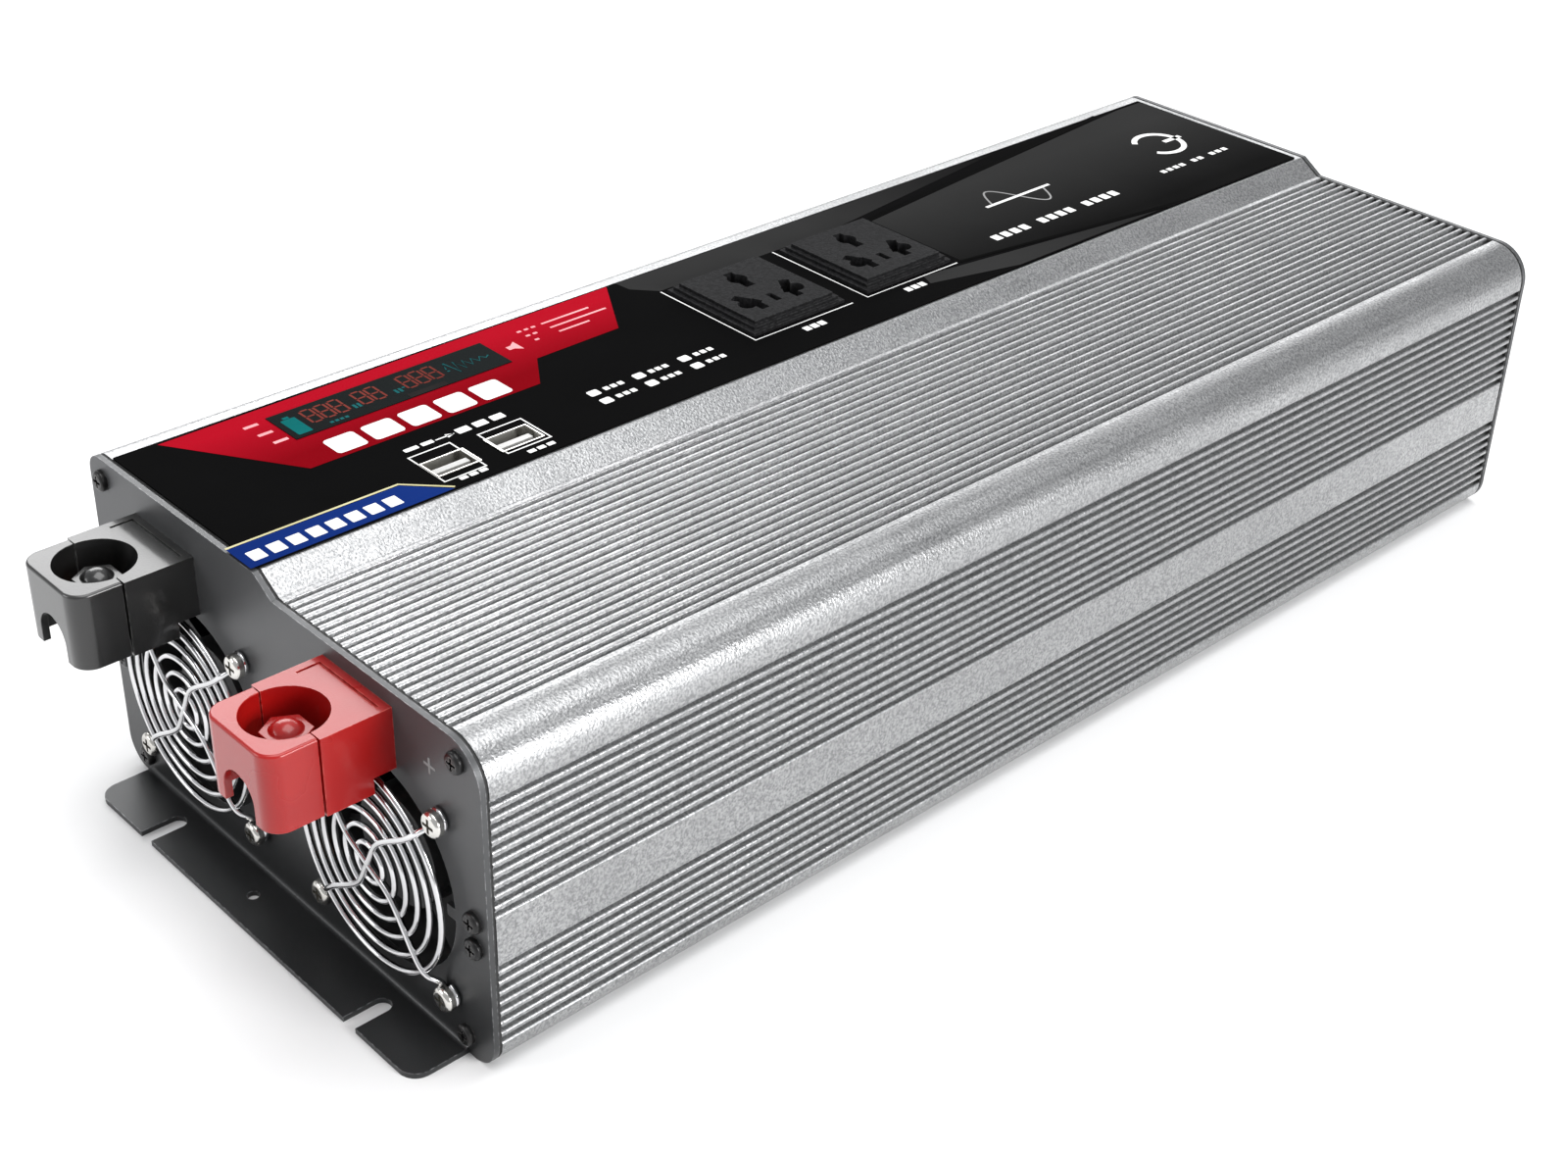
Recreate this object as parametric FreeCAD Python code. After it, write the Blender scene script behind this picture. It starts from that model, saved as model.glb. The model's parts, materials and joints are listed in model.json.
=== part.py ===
import FreeCAD, Part
import math
import os

from FreeCAD import Vector

# Power inverter: two-part ribbed aluminium housing between two bent steel end plates.
# Millimetres.  +X is the width, +Y runs from the fan end to the switch end, +Z is up.
# The origin is the centre of the underside, midway between the four mounting slots.

# ---- housing section -------------------------------------------------------------------
BODY_WIDTH = 162.0
BODY_LENGTH = 400.0           # over both end plates
PLATEAU_HEIGHT = 94.0         # underside to the raised label surface
PLATEAU_WIDTH = 76.0
STEP_DROP = 4.5               # raised surface down to the ribbed shoulder
STEP_RUN = 7.0
SEAM_HEIGHT = 38.5            # parting plane of the two housings
WALL = 3.2
FOOT_R = 8.0
SHOULDER_R = 11.0
PLATEAU_R = 5.0
STEP_R = 1.0

# ---- ribs ------------------------------------------------------------------------------
RIB_PITCH = 3.0
GROOVE_MOUTH = 1.5              # between the rounded lips
GROOVE_ROOT = 1.0
GROOVE_DEPTH = 1.4
GROOVE_LIP_R = 0.55             # rounding of the rib edges
BAND_HALF = 5.8               # smooth band on each side of the seam
CORNER_SMOOTH = 1.0           # smooth strip kept beside each rounded corner

# ---- seam tongue and screw channels ----------------------------------------------------
TONGUE_THICKNESS = 1.0
TONGUE_HEIGHT = 1.2
TONGUE_INSET = 1.1            # outer wall face to the tongue
TONGUE_CLEARANCE = 0.1
CHANNEL_R = 3.2
CHANNEL_BORE_R = 1.35
CHANNEL_INSET = 6.0           # wall to channel centre at the sharp corner
SHOULDER_CHANNEL_DX = 8.0
SHOULDER_CHANNEL_DZ = 5.5
FOOT_CHANNEL_DX = 10.0
FOOT_CHANNEL_DZ = 6.0
SEAM_CHANNEL_DX = 5.0
SEAM_CHANNEL_DZ = 3.7         # each side of the seam

# ---- end plates ------------------------------------------------------------------------
PLATE_THICKNESS = 1.5
GASKET_THICKNESS = 0.8
GASKET_WIDTH = 8.5
GASKET_EDGE = 0.25            # gasket set back from the plate outline
FLANGE_LENGTH = 16.0
FLANGE_INSET = 10.0           # plate side to flange side
FLANGE_CORNER_R = 5.0
BEND_R = 1.5
SLOT_SPACING = 92.0
SLOT_WIDTH = 5.0
SLOT_DEPTH = 11.5             # from the flange's outer edge
GROUND_HOLE_X = -8.0
GROUND_HOLE_R = 1.6

# ---- plate screws ----------------------------------------------------------------------
SCREW_SHANK_R = 1.3
SCREW_LENGTH = 9.0
SCREW_HEAD_R = 2.8
SCREW_HEAD_HEIGHT = 1.7
SCREW_HOLE_CLEARANCE = 0.3

# ---- fans ------------------------------------------------------------------------------
FAN_SIZE = 60.0
FAN_DEPTH = 25.0
FAN_HOLE_PITCH = 50.0
FAN_HOLE_R = 2.1
FAN_BORE_R = 28.4
FAN_CORNER_R = 4.0
FAN_RIM = 4.0                 # square rim at each face
FAN_SPACING = 80.0
FAN_OFFSET_X = 1.0
FAN_CENTRE_HEIGHT = 39.5
FAN_PIN_R = 1.5
FAN_RUNNING_FIT = 0.05
HUB_R = 15.0
BLADE_COUNT = 7
BLADE_THICKNESS = 1.3
BLADE_ANGLE = 38.0
BLADE_TIP_GAP = 0.9
BLADE_DEPTH = 14.0
PLATE_OPENING_R = 28.0
OPENING_TAB = 3.2

# ---- fan guards ------------------------------------------------------------------------
GUARD_WIRE_R = 0.8
GUARD_OUTER_R = 27.6
GUARD_INNER_R = 8.0
GUARD_RINGS = 5
GUARD_STANDOFF = 3.6          # plate face to the middle of the rings
GUARD_EAR_R = 3.1
FAN_SCREW_R = 1.85
FAN_SCREW_LENGTH = 9.0
FAN_SCREW_HEAD_R = 3.3
FAN_SCREW_HEAD_HEIGHT = 2.2

# ---- battery terminals -----------------------------------------------------------------
NEGATIVE_X = -46.0
POSITIVE_X = 36.0
TERMINAL_WIDTH = 27.0
TERMINAL_DEPTH = 31.5
TERMINAL_TOP = 85.5
TERMINAL_BOTTOM = 65.0
TERMINAL_ROOT_BOTTOM = 69.2   # underside beside the plate, above the fan guard
TERMINAL_ROOT_DEPTH = 6.0
TERMINAL_SPLIT = 18.3         # plate face to the joint with the front cap
TERMINAL_SPLIT_GAP = 0.25
TERMINAL_CORNER_R = 5.0
CAP_SIDE_INSET = 0.5
CAP_WALL = 2.0
RECESS_R = 10.0
RECESS_Y = 18.5               # plate face to the stud axis
LUG_SEAT_Z = 71.0             # top of the copper tongue
CABLE_ARCH_WIDTH = 12.0
CABLE_ARCH_TOP = 75.5
FLOOR_WIDTH = 20.0
FLOOR_THICKNESS = 2.2
FLOOR_NOSE = 8.0              # floor beyond the stud axis
BUSBAR_WIDTH = 12.0
BUSBAR_THICKNESS = 1.5
STUD_R = 2.9
STUD_HEIGHT = 9.3             # above the copper tongue
STUD_BASE_R = 5.0
STUD_BASE_HEIGHT = 1.2
NUT_FLATS = 10.5
NUT_HEIGHT = 7.6
NUT_BORE_END = 0.4            # solid left above the blind bore
NUT_DOME_R = 3.9
NUT_DOME_HEIGHT = 2.2
NUT_BORE_CLEARANCE = 0.6
WASHER_R = 6.0
WASHER_THICKNESS = 1.2
TOP_GROOVE_WIDTH = 0.8
TOP_GROOVE_DEPTH = 0.5
TOP_GROOVE_MARGIN = 2.0
TOP_GROOVE_LEG = 5.5

# ---- label side: window, sockets and ports ---------------------------------------------
LABEL_THICKNESS = 0.5
LABEL_LEFT_MARGIN = 8.5
LABEL_RIGHT_MARGIN = 0.8
LABEL_FRONT_MARGIN = 0.8
LABEL_REAR_MARGIN = 5.0
WINDOW_X = -58.4
WINDOW_Y = 75.4               # front face of the body to the window centre
WINDOW_WIDTH = 14.5
WINDOW_LENGTH = 67.5
WINDOW_THICKNESS = 1.2
WINDOW_PROUD = 0.3
WINDOW_LIP = 1.5
DISPLAY_BOARD_GAP = 0.6
SOCKET_X = -39.2
SOCKET_Y = (186.5, 230.0)     # front face of the body to each socket centre
SOCKET_WIDTH = 37.0
SOCKET_LENGTH = 34.5
SOCKET_STEP = 1.2             # each of the two steps round the raised block
SOCKET_PROUD = 3.2
SOCKET_DEPTH = 22.0
SOCKET_BODY_INSET = 2.5
SOCKET_FIT = 0.2
CONTACT_DEPTH = 9.0
CONTACT_THICKNESS = 0.8
USB_X = -16.6
USB_Y = (64.0, 83.6)
USB_WIDTH = 8.4
USB_LENGTH = 13.4
USB_DEPTH = 13.0
USB_WALL = 0.5
USB_PROUD = 0.4
USB_TONGUE_THICKNESS = 2.0
USB_TONGUE_LENGTH = 10.4
USB_FIT = 0.2

# ---- electronics -----------------------------------------------------------------------
BOARD_THICKNESS = 1.6
BOARD_HEIGHT = 12.0
BOARD_WIDTH = 132.0
BOARD_FRONT_GAP = 34.0        # front face of the body to the board
BOARD_REAR_GAP = 22.0
SHEET_THICKNESS = 0.5
STANDOFF_R = 3.2
STANDOFF_INSET = 6.0
STANDOFF_ROWS = 3
BOARD_SCREW_R = 1.4
HEATSINK_X = 56.0
HEATSINK_THICKNESS = 5.0
HEATSINK_HEIGHT = 46.0
HEATSINK_LENGTH = 250.0
TRANSISTORS_PER_SIDE = 8
TRANSISTOR_WIDTH = 15.6
TRANSISTOR_HEIGHT = 20.0
TRANSISTOR_THICKNESS = 5.0
TRANSISTOR_LEG = 5.0
TRANSFORMER_X = 24.0
TRANSFORMER_LENGTH = 44.0
TRANSFORMER_WIDTH = 40.0
TRANSFORMER_HEIGHT = 42.0
TRANSFORMER_PITCH = 56.0
TRANSFORMER_COUNT = 3
TRANSFORMER_Y = -50.0
BULK_CAP_R = 15.0
BULK_CAP_HEIGHT = 42.0
BULK_CAP_COUNT = 2
BULK_CAP_Y = 62.0
INPUT_CAP_R = 8.0
INPUT_CAP_HEIGHT = 30.0
INPUT_CAP_COUNT = 5
INPUT_CAP_X = -24.0
INPUT_CAP_Y = -74.0
INDUCTOR_R = 20.0
INDUCTOR_TUBE_R = 7.0
INDUCTOR_X = -22.0
INDUCTOR_Y = 74.0
FUSE_COUNT = 6
FUSE_PITCH = 13.0
FUSE_ROW_GAP = 28.0           # board edge to the middle of the fuse row
FUSE_ROW_X = 4.0
CONTROL_BOARD_WIDTH = 90.0
CONTROL_BOARD_HEIGHT = 44.0
FAN_LEAD_R = 0.8
FAN_LEAD_EDGE = 2.0           # side of the fan frame to the lead
FAN_LEAD_DROP = 12.0          # fan axis down to the lead
FAN_LEAD_REACH = 9.5          # board edge to where the lead lands
SOCKET_LEAD_R = 1.3
SOCKET_LEAD_BOW = 4.0         # sideways set of each lead between socket and board

# ---- switch end ------------------------------------------------------------------------
SWITCH_X = 46.0
SWITCH_Z = 64.0
SWITCH_WIDTH = 29.0
SWITCH_HEIGHT = 22.0
SWITCH_BEZEL = 2.0
SWITCH_DEPTH = 20.0
SWITCH_WALL = 1.6
ROCKER_GAP = 0.35
ROCKER_SWING_GAP = 1.5        # each end, so that the ends clear the well when it tilts
ROCKER_PIN_R = 1.5
ROCKER_TILT = 9.0
REMOTE_X = 8.0
REMOTE_Z = 64.0
REMOTE_SIZE = 14.0
EARTH_X = -60.0
EARTH_Z = 22.0
EARTH_STUD_R = 2.5
EARTH_STUD_LENGTH = 14.0
VENT_COLUMNS = 4
VENT_ROWS = 6
VENT_LENGTH = 24.0
VENT_WIDTH = 3.0
VENT_PITCH_X = 30.0
VENT_PITCH_Z = 6.0
VENT_FIRST_Z = 14.0
VENT_LEFT_X = -32.0

# Names for the small sizes of the inner parts
BUSBAR_BOARD_GAP = 4.0
BUSBAR_FOOT = 12.0
BOARD_SCREW_HEAD_R = 2.7
BOARD_SCREW_HEAD_HEIGHT = 1.8
FIN_COUNT = 6
FIN_PITCH = 6.5
FIN_REACH = 5.0
FIN_THICKNESS = 1.6
FIN_FIRST = 8.0               # board to the lowest fin
HEATSINK_FOOT = 4.0
HEATSINK_FOOT_INSET = 8.0
TRANSISTOR_HOLE_R = 1.7
TRANSISTOR_HOLE_DROP = 4.0
LEG_PITCH = 5.0
LEG_HALF_WIDTH = 0.6
LEG_BACK = 2.0                # inner face of the device to its legs
LEG_THICKNESS = 0.8
CORE_HALF_DEPTH = 8.0
CORE_LIMB = 6.0
COIL_GAP = 0.2                # coil to the core's post
COIL_END_GAP = 0.4
COIL_WALL_GAP = 0.5
COIL_LENGTH_INSET = 4.0
COIL_CORNER_R = 6.0
CAN_GROOVE_HEIGHT = 3.5
CAN_GROOVE_WIDTH = 1.2
CAN_GROOVE_DEPTH = 0.7
CAN_SPACING = 4.0
FUSE_HALF_WIDTH = 2.5
FUSE_HALF_LENGTH = 9.0
FUSE_BOTTOM = 7.0
FUSE_TOP = 17.0
FUSE_BLADE_OFFSET = 6.0
FUSE_BLADE_HALF_LENGTH = 2.5
FUSE_BLADE_HALF_THICKNESS = 0.4
CONTROL_BOARD_REAR_GAP = 40.0
CHIP_COUNT = 4
CHIP_FIRST = 14.0
CHIP_PITCH = 20.0
CHIP_HALF_WIDTH = 6.0
CHIP_THICKNESS = 2.2
CHIP_BOTTOM = 16.0
CHIP_TOP = 24.0

# ---- derived places --------------------------------------------------------------------
FRONT_Y = -BODY_LENGTH / 2.0
REAR_Y = BODY_LENGTH / 2.0
SIDE_X = BODY_WIDTH / 2.0
SHOULDER_HEIGHT = PLATEAU_HEIGHT - STEP_DROP
PLATEAU_EDGE_X = -SIDE_X + PLATEAU_WIDTH
SHOULDER_EDGE_X = PLATEAU_EDGE_X + STEP_RUN
HOUSING_FRONT_Y = FRONT_Y + PLATE_THICKNESS + GASKET_THICKNESS
HOUSING_REAR_Y = REAR_Y - PLATE_THICKNESS - GASKET_THICKNESS
HOUSING_LENGTH = HOUSING_REAR_Y - HOUSING_FRONT_Y
FAN_CENTRES_X = (FAN_OFFSET_X - FAN_SPACING / 2.0, FAN_OFFSET_X + FAN_SPACING / 2.0)
FAN_FRONT_Y = FRONT_Y + PLATE_THICKNESS
FAN_REAR_Y = FAN_FRONT_Y + FAN_DEPTH
BOARD_TOP = BOARD_HEIGHT + BOARD_THICKNESS
BOARD_FRONT_Y = FRONT_Y + BOARD_FRONT_GAP
BOARD_REAR_Y = REAR_Y - BOARD_REAR_GAP
LABEL_TOP = PLATEAU_HEIGHT + LABEL_THICKNESS
NUT_SEAT_Z = LUG_SEAT_Z + STUD_BASE_HEIGHT
SECTION_CORNERS = (
    (-SIDE_X, 0.0, FOOT_R),
    (SIDE_X, 0.0, FOOT_R),
    (SIDE_X, SHOULDER_HEIGHT, SHOULDER_R),
    (SHOULDER_EDGE_X, SHOULDER_HEIGHT, STEP_R),
    (PLATEAU_EDGE_X, PLATEAU_HEIGHT, STEP_R),
    (-SIDE_X, PLATEAU_HEIGHT, PLATEAU_R),
)


# ---- shape helpers ---------------------------------------------------------------------
def block(x0, x1, y0, y1, z0, z1):
    """Box between two opposite corners."""
    return Part.makeBox(x1 - x0, y1 - y0, z1 - z0, Vector(x0, y0, z0))


def rod_z(x, y, z0, z1, r):
    """Upright cylinder."""
    return Part.makeCylinder(r, z1 - z0, Vector(x, y, z0), Vector(0, 0, 1))


def rod_y(x, z, y0, y1, r):
    """Cylinder along the length of the body."""
    return Part.makeCylinder(r, y1 - y0, Vector(x, y0, z), Vector(0, 1, 0))


def rod_between(start, end, r):
    """Cylinder from one point to another."""
    way = end.sub(start)
    return Part.makeCylinder(r, way.Length, start, way)


def join(shapes):
    """One fused solid from several."""
    return shapes[0].fuse(list(shapes[1:])).removeSplitter()


def cross(a, b):
    """Turn from direction a to direction b in the X-Z plane."""
    return a.x * b.z - a.z * b.x


def moved_corner(before, corner, after, inset):
    """Corner of an outline whose two sides have moved inwards by inset."""
    d1 = corner.sub(before).normalize()
    d2 = after.sub(corner).normalize()
    p1 = corner.add(Vector(-d1.z, 0, d1.x).multiply(inset))
    p2 = corner.add(Vector(-d2.z, 0, d2.x).multiply(inset))
    along = cross(p2.sub(p1), d2) / cross(d1, d2)
    return p1.add(Vector(d1).multiply(along))


def rounded_outline(corners, y, inset=0.0):
    """Closed wire in the plane Y=y through corners (x, z, radius), moved inwards by inset."""
    points = [Vector(x, y, z) for x, z, _ in corners]
    count = len(points)
    edges = []
    arcs = []
    for i in range(count):
        before = points[i - 1]
        after = points[(i + 1) % count]
        turn = cross(points[i].sub(before), after.sub(points[i]))
        radius = max(corners[i][2] - math.copysign(inset, turn), 0.3)
        corner = moved_corner(before, points[i], after, inset)
        to_before = before.sub(points[i]).normalize()
        to_after = after.sub(points[i]).normalize()
        half = to_before.getAngle(to_after) / 2.0
        bisector = to_before.add(to_after).normalize()
        centre = corner.add(Vector(bisector).multiply(radius / math.sin(half)))
        reach = radius / math.tan(half)
        start = corner.add(Vector(to_before).multiply(reach))
        end = corner.add(Vector(to_after).multiply(reach))
        middle = centre.sub(Vector(bisector).multiply(radius))
        arcs.append((start, middle, end))
    for i in range(count):
        start, middle, end = arcs[i]
        edges.append(Part.Arc(start, middle, end).toShape())
        edges.append(Part.makeLine(end, arcs[(i + 1) % count][0]))
    return Part.Wire(edges)


def section_solid(y0, y1, inset=0.0):
    """Body section, moved inwards by inset, from y0 to y1."""
    face = Part.Face(rounded_outline(SECTION_CORNERS, y0, inset))
    return face.extrude(Vector(0, y1 - y0, 0))


def rounded_box_y(x0, x1, z0, z1, y0, y1, r):
    """Box along Y with four rounded edges."""
    corners = ((x0, z0, r), (x1, z0, r), (x1, z1, r), (x0, z1, r))
    return Part.Face(rounded_outline(corners, y0)).extrude(Vector(0, y1 - y0, 0))


def rounded_box_z(x0, x1, y0, y1, z0, z1, r, which="all"):
    """Upright box with rounded vertical edges, all four or the front two."""
    shape = block(x0, x1, y0, y1, z0, z1)
    picked = []
    for edge in shape.Edges:
        ends = [v.Point for v in edge.Vertexes]
        upright = abs(ends[0].z - ends[1].z) > 0.5 * (z1 - z0)
        in_front = ends[0].y < (y0 + y1) / 2.0
        if upright and (which == "all" or in_front):
            picked.append(edge)
    return shape.makeFillet(r, picked)


def hexagon_z(x, y, z0, z1, flats):
    """Upright hexagonal prism."""
    r = flats / math.sqrt(3.0)
    points = []
    for i in range(7):
        a = math.radians(60.0 * i)
        points.append(Vector(x + r * math.cos(a), y + r * math.sin(a), z0))
    return Part.Face(Part.makePolygon(points)).extrude(Vector(0, 0, z1 - z0))


def export(name, shapes):
    """Write one node's STEP file."""
    solids = []
    for shape in shapes:
        solids.extend(shape.Solids)
    result = solids[0] if len(solids) == 1 else Part.makeCompound(solids)
    for solid in solids:
        if not solid.isValid():
            raise ValueError("invalid solid in " + name)
    result.exportStep("parts/" + name + ".step")
    print("%-26s solids %2d volume %10.1f" % (name, len(solids), result.Volume))


# ---- housing ---------------------------------------------------------------------------
def screw_channels():
    """Screw channel centres (x, z, towards-wall x, towards-wall z), shared by both ends."""
    return (
        (-SIDE_X + CHANNEL_INSET, PLATEAU_HEIGHT - CHANNEL_INSET, -1, 1),
        (SIDE_X - SHOULDER_CHANNEL_DX, SHOULDER_HEIGHT - SHOULDER_CHANNEL_DZ, 1, 1),
        (-SIDE_X + SEAM_CHANNEL_DX, SEAM_HEIGHT + SEAM_CHANNEL_DZ, -1, 0),
        (SIDE_X - SEAM_CHANNEL_DX, SEAM_HEIGHT + SEAM_CHANNEL_DZ, 1, 0),
        (-SIDE_X + SEAM_CHANNEL_DX, SEAM_HEIGHT - SEAM_CHANNEL_DZ, -1, 0),
        (SIDE_X - SEAM_CHANNEL_DX, SEAM_HEIGHT - SEAM_CHANNEL_DZ, 1, 0),
        (-SIDE_X + FOOT_CHANNEL_DX, FOOT_CHANNEL_DZ, 0, -1),
        (SIDE_X - FOOT_CHANNEL_DX, FOOT_CHANNEL_DZ, 0, -1),
    )


def groove(x, z, nx, nz):
    """One tapered groove with rounded lips, cut into the wall at (x, z) whose outward normal is (nx, nz)."""
    out = 0.5
    half = GROOVE_MOUTH / 2
    slope = GROOVE_LIP_R * (1.0 - math.sqrt(0.5))

    def place(across, depth):
        return Vector(x - nz * across - nx * depth, HOUSING_FRONT_Y - 1.0, z + nx * across - nz * depth)

    edges = []
    for side in (1, -1):
        brim = place(side * (half + GROOVE_LIP_R), 0.0)
        middle = place(side * (half + slope), slope)
        throat = place(side * half, GROOVE_LIP_R)
        root = place(side * GROOVE_ROOT / 2, GROOVE_DEPTH)
        edges.append(Part.makeLine(place(side * (half + GROOVE_LIP_R), -out), brim))
        edges.append(Part.Arc(brim, middle, throat).toShape())
        edges.append(Part.makeLine(throat, root))
    edges.append(Part.makeLine(place(GROOVE_ROOT / 2, GROOVE_DEPTH), place(-GROOVE_ROOT / 2, GROOVE_DEPTH)))
    edges.append(Part.makeLine(place(half + GROOVE_LIP_R, -out), place(-half - GROOVE_LIP_R, -out)))
    outline = Part.Wire(Part.__sortEdges__(edges))
    return Part.Face(outline).extrude(Vector(0, HOUSING_LENGTH + 2.0, 0))


def groove_positions(low, high):
    """Even groove centres that fill a flat stretch of wall."""
    brim = GROOVE_MOUTH + 2 * GROOVE_LIP_R
    count = int((high - low - brim) // RIB_PITCH) + 1
    first = (low + high - (count - 1) * RIB_PITCH) / 2.0
    return [first + i * RIB_PITCH for i in range(count)]


def all_grooves(upper):
    """Grooves of the upper or the lower housing."""
    cuts = []
    if upper:
        low = SEAM_HEIGHT + BAND_HALF
        for z in groove_positions(low, SHOULDER_HEIGHT - SHOULDER_R - CORNER_SMOOTH):
            cuts.append(groove(SIDE_X, z, 1, 0))
        for z in groove_positions(low, PLATEAU_HEIGHT - PLATEAU_R - CORNER_SMOOTH):
            cuts.append(groove(-SIDE_X, z, -1, 0))
        inner = SHOULDER_EDGE_X + CORNER_SMOOTH
        for x in groove_positions(inner, SIDE_X - SHOULDER_R - CORNER_SMOOTH):
            cuts.append(groove(x, SHOULDER_HEIGHT, 0, 1))
    else:
        high = SEAM_HEIGHT - BAND_HALF
        for z in groove_positions(FOOT_R - CORNER_SMOOTH, high):
            cuts.append(groove(SIDE_X, z, 1, 0))
            cuts.append(groove(-SIDE_X, z, -1, 0))
    return cuts


def channel_bodies(upper):
    """Screw channels with the webs that tie them to the walls."""
    shapes = []
    for x, z, wx, wz in screw_channels():
        if (z > SEAM_HEIGHT) != upper:
            continue
        shapes.append(rod_y(x, z, HOUSING_FRONT_Y, HOUSING_REAR_Y, CHANNEL_R))
        if wx:
            far = wx * (SIDE_X - WALL / 2.0)
            shapes.append(block(min(x, far), max(x, far), HOUSING_FRONT_Y, HOUSING_REAR_Y,
                                z - CHANNEL_BORE_R, z + CHANNEL_BORE_R))
    return shapes


def channel_bores(upper):
    """Bores through the screw channels."""
    cuts = []
    for x, z, _, _ in screw_channels():
        if (z > SEAM_HEIGHT) == upper:
            cuts.append(rod_y(x, z, HOUSING_FRONT_Y - 1, HOUSING_REAR_Y + 1, CHANNEL_BORE_R))
    return cuts


def housing_shell(z0, z1):
    """Walls of the body between two heights."""
    outer = section_solid(HOUSING_FRONT_Y, HOUSING_REAR_Y)
    inner = section_solid(HOUSING_FRONT_Y - 1, HOUSING_REAR_Y + 1, WALL)
    keep = block(-SIDE_X - 1, SIDE_X + 1, HOUSING_FRONT_Y, HOUSING_REAR_Y, z0, z1)
    return outer.cut(inner).common(keep)


def tongue(side, extra):
    """Locating tongue on the seam; extra enlarges it into its groove."""
    outer = SIDE_X - TONGUE_INSET + extra
    inner = SIDE_X - TONGUE_INSET - TONGUE_THICKNESS - extra
    low = min(side * inner, side * outer)
    high = max(side * inner, side * outer)
    root = 0.0 if extra else 0.5
    return block(low, high, HOUSING_FRONT_Y, HOUSING_REAR_Y,
                 SEAM_HEIGHT - root, SEAM_HEIGHT + TONGUE_HEIGHT + extra)


def upper_housing():
    """Upper extrusion with its cut-outs for window, sockets and ports."""
    shell = housing_shell(SEAM_HEIGHT, PLATEAU_HEIGHT + 1)
    section = section_solid(HOUSING_FRONT_Y, HOUSING_REAR_Y)
    shape = shell.fuse([c.common(section) for c in channel_bodies(True)])
    cuts = all_grooves(True) + channel_bores(True)
    cuts += [tongue(side, TONGUE_CLEARANCE) for side in (-1, 1)]
    cuts += top_cutouts(PLATEAU_HEIGHT - WALL - 1, PLATEAU_HEIGHT + 1)
    return shape.cut(cuts).removeSplitter()


def lower_housing():
    """Lower extrusion, a ribbed trough with tongues along its rims."""
    shell = housing_shell(-1, SEAM_HEIGHT)
    section = section_solid(HOUSING_FRONT_Y, HOUSING_REAR_Y)
    adds = [c.common(section) for c in channel_bodies(False)]
    adds += [tongue(side, 0.0) for side in (-1, 1)]
    shape = shell.fuse(adds)
    return shape.cut(all_grooves(False) + channel_bores(False)).removeSplitter()


# ---- places on the label side ----------------------------------------------------------
def window_opening(margin):
    """Outline (x0, x1, y0, y1) of the display window, grown by margin."""
    y = FRONT_Y + WINDOW_Y
    return (WINDOW_X - WINDOW_WIDTH / 2 - margin, WINDOW_X + WINDOW_WIDTH / 2 + margin,
            y - WINDOW_LENGTH / 2 - margin, y + WINDOW_LENGTH / 2 + margin)


def socket_outline(y_from_front, margin):
    """Outline of a socket's flange, grown by margin."""
    y = FRONT_Y + y_from_front
    return (SOCKET_X - SOCKET_WIDTH / 2 - margin, SOCKET_X + SOCKET_WIDTH / 2 + margin,
            y - SOCKET_LENGTH / 2 - margin, y + SOCKET_LENGTH / 2 + margin)


def usb_outline(y_from_front, margin):
    """Outline of a USB shell, grown by margin."""
    y = FRONT_Y + y_from_front
    return (USB_X - USB_WIDTH / 2 - margin, USB_X + USB_WIDTH / 2 + margin,
            y - USB_LENGTH / 2 - margin, y + USB_LENGTH / 2 + margin)


def top_cutouts(z0, z1):
    """Cut-outs shared by the upper housing and the label."""
    cuts = [block(*window_opening(0.1), z0, z1)]
    for y in SOCKET_Y:
        cuts.append(block(*socket_outline(y, SOCKET_FIT - SOCKET_BODY_INSET), z0, z1))
    for y in USB_Y:
        cuts.append(block(*usb_outline(y, USB_FIT), z0, z1))
    return cuts


def label_panel():
    """Thin printed overlay on the raised surface."""
    sheet = block(-SIDE_X + LABEL_LEFT_MARGIN, PLATEAU_EDGE_X - LABEL_RIGHT_MARGIN,
                  FRONT_Y + LABEL_FRONT_MARGIN + PLATE_THICKNESS, REAR_Y - LABEL_REAR_MARGIN,
                  PLATEAU_HEIGHT, LABEL_TOP)
    return sheet.cut(top_cutouts(PLATEAU_HEIGHT - 1, LABEL_TOP + 1))


def display_window():
    """Clear window with a retaining lip under the wall."""
    top = LABEL_TOP + WINDOW_PROUD
    pane = block(*window_opening(0.0), PLATEAU_HEIGHT - WALL, top)
    lip = block(*window_opening(WINDOW_LIP), PLATEAU_HEIGHT - WALL - WINDOW_THICKNESS,
                PLATEAU_HEIGHT - WALL)
    return pane.fuse(lip).removeSplitter()


def display_board():
    """Display module below the window."""
    top = PLATEAU_HEIGHT - WALL - WINDOW_THICKNESS - DISPLAY_BOARD_GAP
    glass = block(*window_opening(0.0), top - 3.0, top)
    board = block(*window_opening(WINDOW_LIP + 1.0), top - 3.0 - BOARD_THICKNESS, top - 3.0)
    return glass.fuse(board).removeSplitter()


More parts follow.
